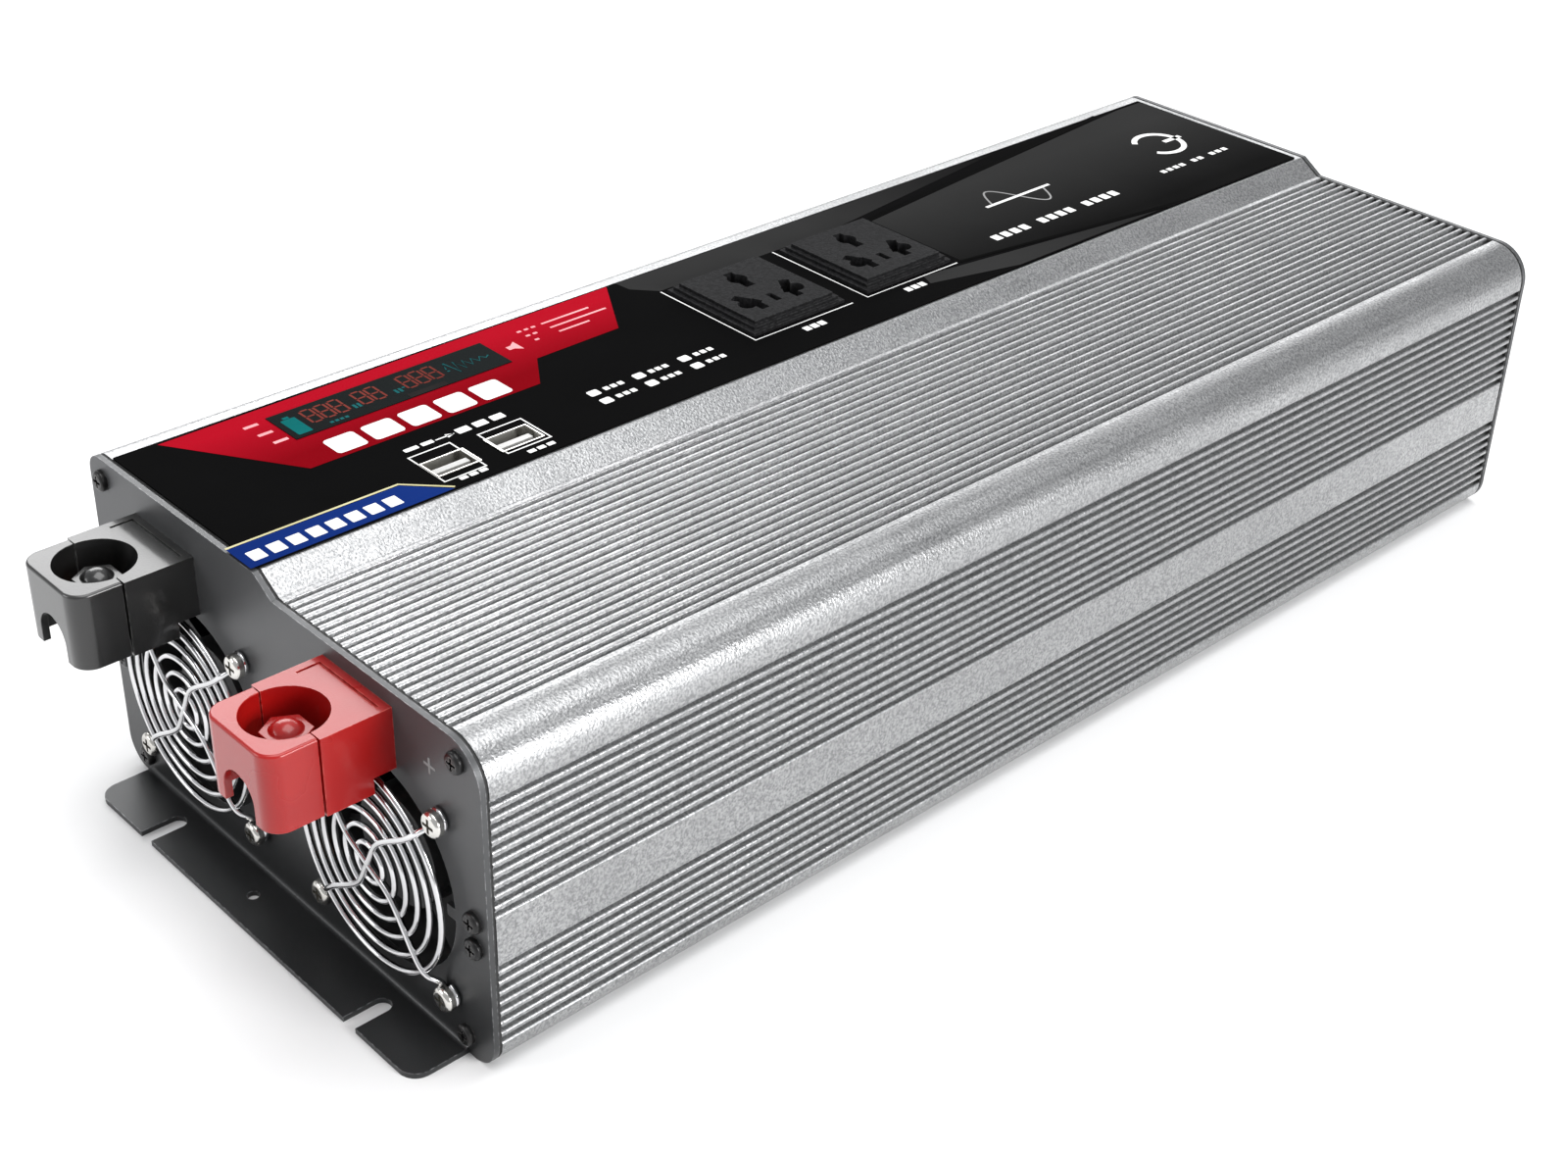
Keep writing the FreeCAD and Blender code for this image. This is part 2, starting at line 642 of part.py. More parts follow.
# ---- sockets and ports -----------------------------------------------------------------
def pin_holes(y, z0, z1):
    """Universal three-pin hole pattern of one socket, as cutting solids."""
    earth_x = SOCKET_X - 6.5
    live_x = SOCKET_X + 6.5
    holes = [
        block(earth_x - 6.0, earth_x + 4.5, y - 1.6, y + 1.6, z0, z1),
        rod_z(earth_x - 1.5, y, z0, z1, 3.0),
        block(live_x - 1.5, live_x + 3.5, y - 1.0, y + 1.0, z0, z1),
    ]
    for side in (-1, 1):
        slot = block(-1.6, 1.6, -4.2, 4.2, z0, z1)
        slot.rotate(Vector(0, 0, 0), Vector(0, 0, 1), 90 - side * 30)
        slot.translate(Vector(live_x - 2.0, y + side * 7.6, 0))
        round_hole = rod_z(live_x, y + side * 9.2, z0, z1, 2.6)
        blade = block(live_x - 2.2, live_x + 5.0, y + side * 6.6 - 1.4, y + side * 6.6 + 1.4, z0, z1)
        holes.append(join([slot, round_hole, blade]))
    return holes


def socket_body(y_from_front):
    """Raised stepped block with its body through the wall and a hollow contact chamber."""
    y = FRONT_Y + y_from_front
    top = LABEL_TOP + SOCKET_PROUD
    steps = []
    for i in range(3):
        height = LABEL_TOP + SOCKET_PROUD * (i + 1) / 3.0
        steps.append(block(*socket_outline(y_from_front, -SOCKET_STEP * i), LABEL_TOP, height))
    bottom = PLATEAU_HEIGHT - SOCKET_DEPTH
    steps.append(block(*socket_outline(y_from_front, -SOCKET_BODY_INSET), bottom, LABEL_TOP + 1))
    shape = join(steps)
    chamber = block(*socket_outline(y_from_front, -SOCKET_BODY_INSET - 2.0), bottom + 2.0, top - 5.0)
    return shape.cut([chamber] + pin_holes(y, top - 6.0, top + 1.0)).removeSplitter()


def socket_contacts(y_from_front):
    """Three sprung brass contacts standing in the chamber with tails through its floor."""
    y = FRONT_Y + y_from_front
    bottom = PLATEAU_HEIGHT - SOCKET_DEPTH
    shapes = []
    for x, yc in contact_places(y):
        left = block(x - 3.5, x - 3.5 + CONTACT_THICKNESS, yc - 2.5, yc + 2.5,
                     bottom + 2.0, bottom + 2.0 + CONTACT_DEPTH)
        right = block(x + 3.5 - CONTACT_THICKNESS, x + 3.5, yc - 2.5, yc + 2.5,
                      bottom + 2.0, bottom + 2.0 + CONTACT_DEPTH)
        base = block(x - 3.5, x + 3.5, yc - 2.5, yc + 2.5, bottom + 2.0, bottom + 2.8)
        shapes.append(join([base, left, right]))
    return shapes


def usb_shell(y_from_front):
    """Folded metal shell of a USB port, closed below."""
    top = LABEL_TOP + USB_PROUD
    outer = block(*usb_outline(y_from_front, 0.0), top - USB_DEPTH, top)
    inner = block(*usb_outline(y_from_front, -USB_WALL), top - USB_DEPTH + 2.0, top + 1)
    return outer.cut(inner)


def usb_tongue(y_from_front):
    """Contact tongue inside a USB shell."""
    y = FRONT_Y + y_from_front
    top = LABEL_TOP + USB_PROUD
    half = USB_TONGUE_THICKNESS / 2
    return block(USB_X - half, USB_X + half, y - USB_TONGUE_LENGTH / 2, y + USB_TONGUE_LENGTH / 2,
                 top - USB_DEPTH + 2.0, top - 1.0)


def usb_board():
    """Small board under the two USB ports."""
    under = LABEL_TOP + USB_PROUD - USB_DEPTH
    y0 = FRONT_Y + USB_Y[0] - USB_LENGTH / 2 - 4.0
    y1 = FRONT_Y + USB_Y[1] + USB_LENGTH / 2 + 4.0
    return block(USB_X - 9.0, USB_X + 9.0, y0, y1, under - BOARD_THICKNESS, under)


# ---- end plates ------------------------------------------------------------------------
def plate_blank(end):
    """Plate with its outward flange; end is -1 for the fan end and 1 for the switch end."""
    face_y = end * BODY_LENGTH / 2.0
    inner_y = face_y - end * PLATE_THICKNESS
    plate = section_solid(min(face_y, inner_y), max(face_y, inner_y))
    outer_y = face_y + end * FLANGE_LENGTH
    half = SIDE_X - FLANGE_INSET
    flange = block(-half, half, min(inner_y, outer_y), max(inner_y, outer_y), 0, PLATE_THICKNESS)
    edges = []
    for edge in flange.Edges:
        ends = [v.Point for v in edge.Vertexes]
        if abs(ends[0].z - ends[1].z) > 1.0 and abs(ends[0].y - outer_y) < 0.1:
            edges.append(edge)
    flange = flange.makeFillet(FLANGE_CORNER_R, edges)
    near = face_y + end * BEND_R
    bend = block(-half, half, min(face_y, near), max(face_y, near),
                 PLATE_THICKNESS, PLATE_THICKNESS + BEND_R)
    relief = Part.makeCylinder(BEND_R, 2 * half + 2, Vector(-half - 1, near, PLATE_THICKNESS + BEND_R),
                               Vector(1, 0, 0))
    shape = plate.fuse([flange, bend.cut(relief)])
    return shape.cut(flange_slots(end))


def flange_slots(end):
    """Open slots in a flange's outer edge."""
    outer_y = end * (BODY_LENGTH / 2.0 + FLANGE_LENGTH)
    closed_y = outer_y - end * (SLOT_DEPTH - SLOT_WIDTH / 2.0)
    cuts = []
    for side in (-1, 1):
        x = side * SLOT_SPACING / 2.0
        far_y = outer_y + end
        cuts.append(block(x - SLOT_WIDTH / 2, x + SLOT_WIDTH / 2, min(closed_y, far_y),
                          max(closed_y, far_y), -1, PLATE_THICKNESS + 1))
        cuts.append(rod_z(x, closed_y, -1, PLATE_THICKNESS + 1, SLOT_WIDTH / 2))
    return cuts


def plate_screw_holes(y0, y1):
    """Clearance holes for the plate screws."""
    r = SCREW_SHANK_R + SCREW_HOLE_CLEARANCE
    return [rod_y(x, z, y0, y1, r) for x, z, _, _ in screw_channels()]


def fan_hole_places(x):
    """Corner hole centres of the fan centred at x."""
    half = FAN_HOLE_PITCH / 2.0
    return [(x + i * half, FAN_CENTRE_HEIGHT + k * half) for i in (-1, 1) for k in (-1, 1)]


def front_end_plate():
    """Fan-end plate: fan openings with a locating tab, screw holes, terminal slots."""
    y0 = FRONT_Y - 1
    y1 = FRONT_Y + PLATE_THICKNESS + 1
    cuts = plate_screw_holes(y0, y1)
    for x in FAN_CENTRES_X:
        tab = block(x + PLATE_OPENING_R - OPENING_TAB, x + PLATE_OPENING_R + 1, y0, y1,
                    FAN_CENTRE_HEIGHT - OPENING_TAB / 2, FAN_CENTRE_HEIGHT + OPENING_TAB / 2)
        cuts.append(rod_y(x, FAN_CENTRE_HEIGHT, y0, y1, PLATE_OPENING_R).cut(tab))
        for hx, hz in fan_hole_places(x):
            cuts.append(rod_y(hx, hz, y0, y1, FAN_HOLE_R))
    for x in (NEGATIVE_X, POSITIVE_X):
        cuts.append(block(x - BUSBAR_WIDTH / 2 - 0.6, x + BUSBAR_WIDTH / 2 + 0.6, y0, y1,
                          LUG_SEAT_Z - BUSBAR_THICKNESS - 0.6, LUG_SEAT_Z + 0.6))
    flange_y = FRONT_Y - FLANGE_LENGTH / 2
    cuts.append(rod_z(GROUND_HOLE_X, flange_y, -1, PLATE_THICKNESS + 1, GROUND_HOLE_R))
    return plate_blank(-1).cut(cuts).removeSplitter()


def rear_end_plate():
    """Switch-end plate: air inlet slots and cut-outs for switch, remote jack and earth stud."""
    y0 = REAR_Y - PLATE_THICKNESS - 1
    y1 = REAR_Y + 1
    cuts = plate_screw_holes(y0, y1)
    for column in range(VENT_COLUMNS):
        for row in range(VENT_ROWS):
            x = VENT_LEFT_X + column * VENT_PITCH_X
            z = VENT_FIRST_Z + row * VENT_PITCH_Z
            cuts.append(rounded_box_y(x - VENT_LENGTH / 2, x + VENT_LENGTH / 2, z - VENT_WIDTH / 2,
                                      z + VENT_WIDTH / 2, y0, y1, VENT_WIDTH / 2 - 0.05))
    cuts.append(block(*switch_outline(-SWITCH_BEZEL + SOCKET_FIT, y0, y1)))
    half = REMOTE_SIZE / 2 + SOCKET_FIT
    cuts.append(block(REMOTE_X - half, REMOTE_X + half, y0, y1, REMOTE_Z - half, REMOTE_Z + half))
    cuts.append(rod_y(EARTH_X, EARTH_Z, y0, y1, EARTH_STUD_R + SOCKET_FIT))
    return plate_blank(1).cut(cuts).removeSplitter()


def gasket(end):
    """Thin black seal between the housing and one end plate."""
    outer_y = end * (BODY_LENGTH / 2.0 - PLATE_THICKNESS)
    inner_y = outer_y - end * GASKET_THICKNESS
    y0 = min(outer_y, inner_y)
    y1 = max(outer_y, inner_y)
    ring = section_solid(y0, y1, GASKET_EDGE).cut(section_solid(y0 - 1, y1 + 1, GASKET_WIDTH))
    return ring.cut(plate_screw_holes(y0 - 1, y1 + 1))


def pan_head(x, z, face_y, end, head_r, head_height, shank_r, length):
    """Cross-recessed pan-head screw through a plate, its head against face_y."""
    outward = Vector(0, end, 0)
    head = Part.makeCylinder(head_r, head_height, Vector(x, face_y, z), outward)
    rim = [e for e in head.Edges if abs(e.BoundBox.YMin - e.BoundBox.YMax) < 1e-6
           and abs(e.BoundBox.YMin - (face_y + end * head_height)) < 1e-6]
    head = head.makeFillet(head_height * 0.55, rim)
    shank = Part.makeCylinder(shank_r, length, Vector(x, face_y, z), Vector(0, -end, 0))
    shape = head.fuse(shank)
    arm = head_r * 0.6
    half = head_r * 0.13
    y_out = face_y + end * (head_height + 0.1)
    y_in = face_y + end * head_height * 0.45
    for hx, hz in ((arm, half), (half, arm)):
        shape = shape.cut(block(x - hx, x + hx, min(y_out, y_in), max(y_out, y_in), z - hz, z + hz))
    return shape


def plate_screws(end):
    """Eight screws that hold one end plate."""
    face_y = end * BODY_LENGTH / 2.0
    return [pan_head(x, z, face_y, end, SCREW_HEAD_R, SCREW_HEAD_HEIGHT, SCREW_SHANK_R,
                     SCREW_LENGTH) for x, z, _, _ in screw_channels()]


# ---- fans ------------------------------------------------------------------------------
def fan_frame(x):
    """Square fan frame with a round duct, rear struts, motor disc and bearing pin."""
    z = FAN_CENTRE_HEIGHT
    half = FAN_SIZE / 2
    shapes = []
    for y0 in (FAN_FRONT_Y, FAN_REAR_Y - FAN_RIM):
        shapes.append(rounded_box_y(x - half, x + half, z - half, z + half, y0, y0 + FAN_RIM,
                                    FAN_CORNER_R))
    shapes.append(rod_y(x, z, FAN_FRONT_Y, FAN_REAR_Y, half - 0.05))
    body = join(shapes)
    cuts = [rod_y(x, z, FAN_FRONT_Y - 1, FAN_REAR_Y + 1, FAN_BORE_R)]
    for hx, hz in fan_hole_places(x):
        cuts.append(rod_y(hx, hz, FAN_FRONT_Y - 1, FAN_REAR_Y + 1, FAN_HOLE_R))
    body = body.cut(cuts)
    strut_y = FAN_REAR_Y - 3.0
    adds = [rod_y(x, z, strut_y, FAN_REAR_Y, HUB_R), rod_y(x, z, FAN_FRONT_Y + 6.0, FAN_REAR_Y, FAN_PIN_R)]
    for i in range(4):
        strut = block(x + HUB_R - 1, x + FAN_BORE_R + 0.5, strut_y, FAN_REAR_Y, z - 1.2, z + 1.2)
        strut.rotate(Vector(x, 0, z), Vector(0, 1, 0), 45 + 90 * i)
        adds.append(strut)
    return body.fuse(adds).removeSplitter()


def fan_rotor(x):
    """Hub and swept blades that turn on the bearing pin."""
    z = FAN_CENTRE_HEIGHT
    front = FAN_FRONT_Y + 2.5
    back = FAN_REAR_Y - 3.6
    hub = rod_y(x, z, front, back, HUB_R)
    middle = (front + back) / 2.0
    tip = FAN_BORE_R - BLADE_TIP_GAP
    blades = []
    for i in range(BLADE_COUNT):
        blade = block(HUB_R - 2, tip + 2, -BLADE_DEPTH / 2, BLADE_DEPTH / 2,
                      -BLADE_THICKNESS / 2, BLADE_THICKNESS / 2)
        blade.rotate(Vector(0, 0, 0), Vector(1, 0, 0), BLADE_ANGLE)
        blade.rotate(Vector(0, 0, 0), Vector(0, 1, 0), 360.0 * i / BLADE_COUNT)
        blade.translate(Vector(x, middle, z))
        blades.append(blade.common(rod_y(x, z, front, back, tip)))
    shape = hub.fuse(blades)
    bore = rod_y(x, z, FAN_FRONT_Y + 5.8, back + 1, FAN_PIN_R + FAN_RUNNING_FIT)
    return shape.cut(bore).removeSplitter()


def fan_guard(x):
    """Wire finger guard: rings joined by crossed wires that end in screw ears."""
    z = FAN_CENTRE_HEIGHT
    ring_y = FRONT_Y - GUARD_STANDOFF
    spoke_y = ring_y + 1.6 * GUARD_WIRE_R
    ear_y = FRONT_Y - GUARD_WIRE_R - 0.02
    along_y = Vector(0, 1, 0)
    shapes = []
    for i in range(GUARD_RINGS):
        r = GUARD_INNER_R + (GUARD_OUTER_R - GUARD_INNER_R) * i / (GUARD_RINGS - 1)
        shapes.append(Part.makeTorus(r, GUARD_WIRE_R, Vector(x, ring_y, z), along_y))
    ear_reach = FAN_HOLE_PITCH / math.sqrt(2.0)
    for i in range(4):
        a = math.radians(45 + 90 * i)
        way = Vector(math.cos(a), 0, math.sin(a))
        inner = Vector(x, spoke_y, z).add(Vector(way).multiply(GUARD_INNER_R - GUARD_WIRE_R))
        knee = Vector(x, spoke_y, z).add(Vector(way).multiply(GUARD_OUTER_R + 0.4))
        foot = Vector(x, ear_y, z).add(Vector(way).multiply(ear_reach - GUARD_EAR_R - 0.6))
        ear = Vector(x, ear_y, z).add(Vector(way).multiply(ear_reach))
        shapes.append(rod_between(inner, knee, GUARD_WIRE_R))
        shapes.append(Part.makeSphere(GUARD_WIRE_R, knee))
        shapes.append(rod_between(knee, foot, GUARD_WIRE_R))
        shapes.append(Part.makeTorus(GUARD_EAR_R, GUARD_WIRE_R, ear, along_y))
    return shapes[0].fuse(shapes[1:])


def fan_screws():
    """Eight bright screws that hold both guards and fans."""
    head_y = FRONT_Y - 2 * GUARD_WIRE_R - 0.04
    shapes = []
    for x in FAN_CENTRES_X:
        for hx, hz in fan_hole_places(x):
            shapes.append(pan_head(hx, hz, head_y, -1, FAN_SCREW_HEAD_R, FAN_SCREW_HEAD_HEIGHT,
                                   FAN_SCREW_R, FAN_SCREW_LENGTH))
    return shapes


# ---- battery terminals -----------------------------------------------------------------
def terminal_base(x):
    """Rear half of a terminal cover, fixed to the plate, with the floor under the stud."""
    half = TERMINAL_WIDTH / 2
    split_y = FRONT_Y - TERMINAL_SPLIT
    stud_y = FRONT_Y - RECESS_Y
    body = block(x - half, x + half, split_y, FRONT_Y, TERMINAL_BOTTOM, TERMINAL_TOP)
    under = block(x - half - 1, x + half + 1, FRONT_Y - TERMINAL_ROOT_DEPTH, FRONT_Y + 1,
                  TERMINAL_BOTTOM - 1, TERMINAL_ROOT_BOTTOM)
    floor_top = LUG_SEAT_Z - BUSBAR_THICKNESS
    nose = block(x - FLOOR_WIDTH / 2, x + FLOOR_WIDTH / 2, stud_y - FLOOR_NOSE, split_y + 1,
                 floor_top - FLOOR_THICKNESS, floor_top)
    channel = block(x - BUSBAR_WIDTH / 2 - 0.3, x + BUSBAR_WIDTH / 2 + 0.3, split_y - 30, FRONT_Y + 1,
                    floor_top, LUG_SEAT_Z + 0.3)
    recess = rod_z(x, stud_y, LUG_SEAT_Z, TERMINAL_TOP + 1, RECESS_R)
    y0 = FRONT_Y - TOP_GROOVE_MARGIN - TOP_GROOVE_WIDTH
    x0 = x - half + TOP_GROOVE_MARGIN
    x1 = x + half - TOP_GROOVE_MARGIN
    z0 = TERMINAL_TOP - TOP_GROOVE_DEPTH
    z1 = TERMINAL_TOP + 1
    long_groove = block(x0, x1, y0, y0 + TOP_GROOVE_WIDTH, z0, z1)
    short_groove = block(x0, x0 + TOP_GROOVE_WIDTH, y0 - TOP_GROOVE_LEG, y0, z0, z1)
    shape = body.cut([under, recess, long_groove, short_groove])
    return shape.fuse(nose).cut(channel).removeSplitter()


def terminal_cap(x):
    """Front half of a terminal cover, slid on over the floor, with the cable arch."""
    half = TERMINAL_WIDTH / 2 - CAP_SIDE_INSET
    back_y = FRONT_Y - TERMINAL_SPLIT - TERMINAL_SPLIT_GAP
    front_y = FRONT_Y - TERMINAL_DEPTH
    stud_y = FRONT_Y - RECESS_Y
    body = rounded_box_z(x - half, x + half, front_y, back_y, TERMINAL_BOTTOM, TERMINAL_TOP,
                         TERMINAL_CORNER_R, "front")
    top_edges = []
    for edge in body.Edges:
        box = edge.BoundBox
        on_top = box.ZMin > TERMINAL_TOP - 0.01
        at_back = box.YMin > back_y - 0.01
        if on_top and not at_back:
            top_edges.append(edge)
    body = body.makeFillet(0.8, top_edges)
    recess = rod_z(x, stud_y, LUG_SEAT_Z, TERMINAL_TOP + 1, RECESS_R)
    cavity = block(x - half + CAP_WALL, x + half - CAP_WALL, front_y + CAP_WALL, back_y + 1,
                   TERMINAL_BOTTOM - 1, LUG_SEAT_Z + 3.0)
    arch_r = CABLE_ARCH_WIDTH / 2
    arch_z = CABLE_ARCH_TOP - arch_r
    arch = rod_y(x, arch_z, front_y - 1, stud_y, arch_r)
    legs = block(x - arch_r, x + arch_r, front_y - 1, stud_y, TERMINAL_BOTTOM - 1, arch_z)
    return body.cut([recess, cavity, arch, legs]).removeSplitter()


def terminal_stud(x):
    """Threaded stud with a round foot seated on the copper tongue."""
    y = FRONT_Y - RECESS_Y
    foot = rod_z(x, y, LUG_SEAT_Z, NUT_SEAT_Z, STUD_BASE_R)
    shank = rod_z(x, y, LUG_SEAT_Z, LUG_SEAT_Z + STUD_HEIGHT, STUD_R)
    top = [e for e in shank.Edges if e.BoundBox.ZMin > LUG_SEAT_Z + STUD_HEIGHT - 0.01]
    return foot.fuse(shank.makeFillet(STUD_R * 0.5, top)).removeSplitter()


def terminal_washer(x):
    """Plain washer under the nut."""
    y = FRONT_Y - RECESS_Y
    ring = rod_z(x, y, NUT_SEAT_Z, NUT_SEAT_Z + WASHER_THICKNESS, WASHER_R)
    return ring.cut(rod_z(x, y, NUT_SEAT_Z - 1, NUT_SEAT_Z + 3, STUD_R + NUT_BORE_CLEARANCE))


def terminal_nut(x):
    """Moulded hexagonal cap nut with a dome, on a blind bore."""
    y = FRONT_Y - RECESS_Y
    base = NUT_SEAT_Z + WASHER_THICKNESS
    top = base + NUT_HEIGHT
    ball_r = (NUT_DOME_R ** 2 + NUT_DOME_HEIGHT ** 2) / (2 * NUT_DOME_HEIGHT)
    ball = Part.makeSphere(ball_r, Vector(x, y, top + NUT_DOME_HEIGHT - ball_r))
    dome = ball.common(rod_z(x, y, top - 0.2, top + NUT_DOME_HEIGHT + 1, NUT_FLATS))
    bore = rod_z(x, y, base - 1, top - NUT_BORE_END, STUD_R + NUT_BORE_CLEARANCE)
    return hexagon_z(x, y, base, top, NUT_FLATS).fuse(dome).cut(bore).removeSplitter()


def busbar(x):
    """Copper strip from under the stud, over the fan and down to the board."""
    half = BUSBAR_WIDTH / 2
    z0 = LUG_SEAT_Z - BUSBAR_THICKNESS
    down_y = BOARD_FRONT_Y + BUSBAR_BOARD_GAP
    run = block(x - half, x + half, FRONT_Y - RECESS_Y - half, down_y + BUSBAR_THICKNESS, z0, LUG_SEAT_Z)
    drop = block(x - half, x + half, down_y, down_y + BUSBAR_THICKNESS, BOARD_TOP, LUG_SEAT_Z)
    foot = block(x - half, x + half, down_y, down_y + BUSBAR_FOOT, BOARD_TOP, BOARD_TOP + BUSBAR_THICKNESS)
    return join([run, drop, foot])


# ---- electronics -----------------------------------------------------------------------
def standoff_places():
    """Standoff centres under the main board."""
    x = BOARD_WIDTH / 2 - STANDOFF_INSET
    y0 = BOARD_FRONT_Y + STANDOFF_INSET
    y1 = BOARD_REAR_Y - STANDOFF_INSET
    rows = [y0 + (y1 - y0) * i / (STANDOFF_ROWS - 1) for i in range(STANDOFF_ROWS)]
    return [(side * x, y) for y in rows for side in (-1, 1)]


def main_board():
    """Power board with clearance holes at the standoffs."""
    half = BOARD_WIDTH / 2
    board = block(-half, half, BOARD_FRONT_Y, BOARD_REAR_Y, BOARD_HEIGHT, BOARD_TOP)
    return board.cut([rod_z(x, y, 0, BOARD_TOP + 1, BOARD_SCREW_R + 0.2) for x, y in standoff_places()])


def insulating_sheet():
    """Insulating sheet on the floor, holed for the standoffs."""
    half = BOARD_WIDTH / 2 - 1.0
    sheet = block(-half, half, BOARD_FRONT_Y, BOARD_REAR_Y, WALL, WALL + SHEET_THICKNESS)
    return sheet.cut([rod_z(x, y, 0, BOARD_HEIGHT, STANDOFF_R + 0.5) for x, y in standoff_places()])


def standoffs():
    """Round standoffs between the floor and the board."""
    shapes = []
    for x, y in standoff_places():
        post = rod_z(x, y, WALL, BOARD_HEIGHT, STANDOFF_R)
        shapes.append(post.cut(rod_z(x, y, BOARD_HEIGHT - 6, BOARD_HEIGHT + 1, BOARD_SCREW_R + 0.05)))
    return shapes


def board_screws():
    """Screws that hold the board to its standoffs."""
    shapes = []
    for x, y in standoff_places():
        head = rod_z(x, y, BOARD_TOP, BOARD_TOP + BOARD_SCREW_HEAD_HEIGHT, BOARD_SCREW_HEAD_R)
        shapes.append(head.fuse(rod_z(x, y, BOARD_HEIGHT - 4, BOARD_TOP, BOARD_SCREW_R)).removeSplitter())
    return shapes


def board_row(count, pitch, middle=0.0):
    """Evenly spaced places along Y about middle."""
    return [middle + (i - (count - 1) / 2.0) * pitch for i in range(count)]


def heatsink(side):
    """Finned bar that the power transistors are clamped to."""
    inner = HEATSINK_X
    outer = HEATSINK_X + HEATSINK_THICKNESS
    half = HEATSINK_LENGTH / 2
    foot_top = BOARD_TOP + HEATSINK_FOOT
    bar = block(inner, outer, -half, half, foot_top, BOARD_TOP + HEATSINK_HEIGHT)
    feet = [block(inner, outer, y - HEATSINK_FOOT, y + HEATSINK_FOOT, BOARD_TOP, foot_top)
            for y in (-half + HEATSINK_FOOT_INSET, half - HEATSINK_FOOT_INSET)]
    fins = []
    for i in range(FIN_COUNT):
        z = BOARD_TOP + FIN_FIRST + i * FIN_PITCH
        fins.append(block(outer - 0.5, outer + FIN_REACH, -half, half, z, z + FIN_THICKNESS))
    shape = join([bar] + feet + fins)
    if side < 0:
        shape = shape.mirror(Vector(0, 0, 0), Vector(1, 0, 0))
    return shape


def transistor_row(side):
    """Power transistors on the inner face of one heatsink, each with three legs."""
    pitch = HEATSINK_LENGTH / TRANSISTORS_PER_SIDE
    shapes = []
    outer = HEATSINK_X
    inner = outer - TRANSISTOR_THICKNESS
    z0 = BOARD_TOP + TRANSISTOR_LEG
    for y in board_row(TRANSISTORS_PER_SIDE, pitch):
        half = TRANSISTOR_WIDTH / 2
        body = block(inner, outer, y - half, y + half, z0, z0 + TRANSISTOR_HEIGHT)
        hole_z = z0 + TRANSISTOR_HEIGHT - TRANSISTOR_HOLE_DROP
        hole = Part.makeCylinder(TRANSISTOR_HOLE_R, TRANSISTOR_THICKNESS + 2,
                                 Vector(inner - 1, y, hole_z), Vector(1, 0, 0))
        back = inner + LEG_BACK
        legs = [block(back, back + LEG_THICKNESS, leg_y - LEG_HALF_WIDTH, leg_y + LEG_HALF_WIDTH, BOARD_TOP, z0 + 1)
                for leg_y in (y - LEG_PITCH, y, y + LEG_PITCH)]
        shape = join([body.cut(hole)] + legs)
        if side < 0:
            shape = shape.mirror(Vector(0, 0, 0), Vector(1, 0, 0))
        shapes.append(shape)
    return shapes


def transformer_places():
    """Transformer centres along the board."""
    return board_row(TRANSFORMER_COUNT, TRANSFORMER_PITCH, TRANSFORMER_Y)


def transformer_cores():
    """Ferrite frames round each winding."""
    shapes = []
    for y in transformer_places():
        half_x = TRANSFORMER_WIDTH / 2
        half_y = TRANSFORMER_LENGTH / 2
        top = BOARD_TOP + TRANSFORMER_HEIGHT
        low = BOARD_TOP + CORE_LIMB
        high = top - CORE_LIMB
        front = y - CORE_HALF_DEPTH
        rear = y + CORE_HALF_DEPTH
        outer = block(TRANSFORMER_X - half_x, TRANSFORMER_X + half_x, front, rear, BOARD_TOP, top)
        window = block(TRANSFORMER_X - half_x + CORE_LIMB, TRANSFORMER_X + half_x - CORE_LIMB,
                       y - half_y, y + half_y, low, high)
        post = block(TRANSFORMER_X - CORE_LIMB, TRANSFORMER_X + CORE_LIMB, front, rear, low, high)
        shapes.append(outer.cut(window).fuse(post).removeSplitter())
    return shapes


def transformer_windings():
    """Taped coils on the middle post of each core."""
    shapes = []
    for y in transformer_places():
        r = TRANSFORMER_WIDTH / 2 - CORE_LIMB - COIL_WALL_GAP
        z0 = BOARD_TOP + CORE_LIMB + COIL_END_GAP
        z1 = BOARD_TOP + TRANSFORMER_HEIGHT - CORE_LIMB - COIL_END_GAP
        half_y = TRANSFORMER_LENGTH / 2 - COIL_LENGTH_INSET
        coil = rounded_box_z(TRANSFORMER_X - r, TRANSFORMER_X + r, y - half_y, y + half_y, z0, z1,
                             COIL_CORNER_R)
        post_x = CORE_LIMB + COIL_GAP
        post_y = CORE_HALF_DEPTH + COIL_GAP
        post = block(TRANSFORMER_X - post_x, TRANSFORMER_X + post_x, y - post_y, y + post_y, z0 - 1, z1 + 1)
        shapes.append(coil.cut(post))
    return shapes


def can(x, y, r, height):
    """Electrolytic capacitor with a rolled groove near its foot."""
    body = rod_z(x, y, BOARD_TOP, BOARD_TOP + height, r)
    groove_z = BOARD_TOP + CAN_GROOVE_HEIGHT
    ring = rod_z(x, y, groove_z, groove_z + CAN_GROOVE_WIDTH, r + 1)
    ring = ring.cut(rod_z(x, y, groove_z - 1, groove_z + 3, r - CAN_GROOVE_DEPTH))
    return body.cut(ring)


def bulk_capacitors():
    """High-voltage capacitors."""
    rows = board_row(BULK_CAP_COUNT, 2 * BULK_CAP_R + CAN_SPACING, BULK_CAP_Y)
    return [can(TRANSFORMER_X, y, BULK_CAP_R, BULK_CAP_HEIGHT) for y in rows]


def input_capacitors():
    """Low-voltage capacitors along the left of the transformers."""
    rows = board_row(INPUT_CAP_COUNT, 2 * INPUT_CAP_R + CAN_SPACING, INPUT_CAP_Y)
    return [can(INPUT_CAP_X, y, INPUT_CAP_R, INPUT_CAP_HEIGHT) for y in rows]


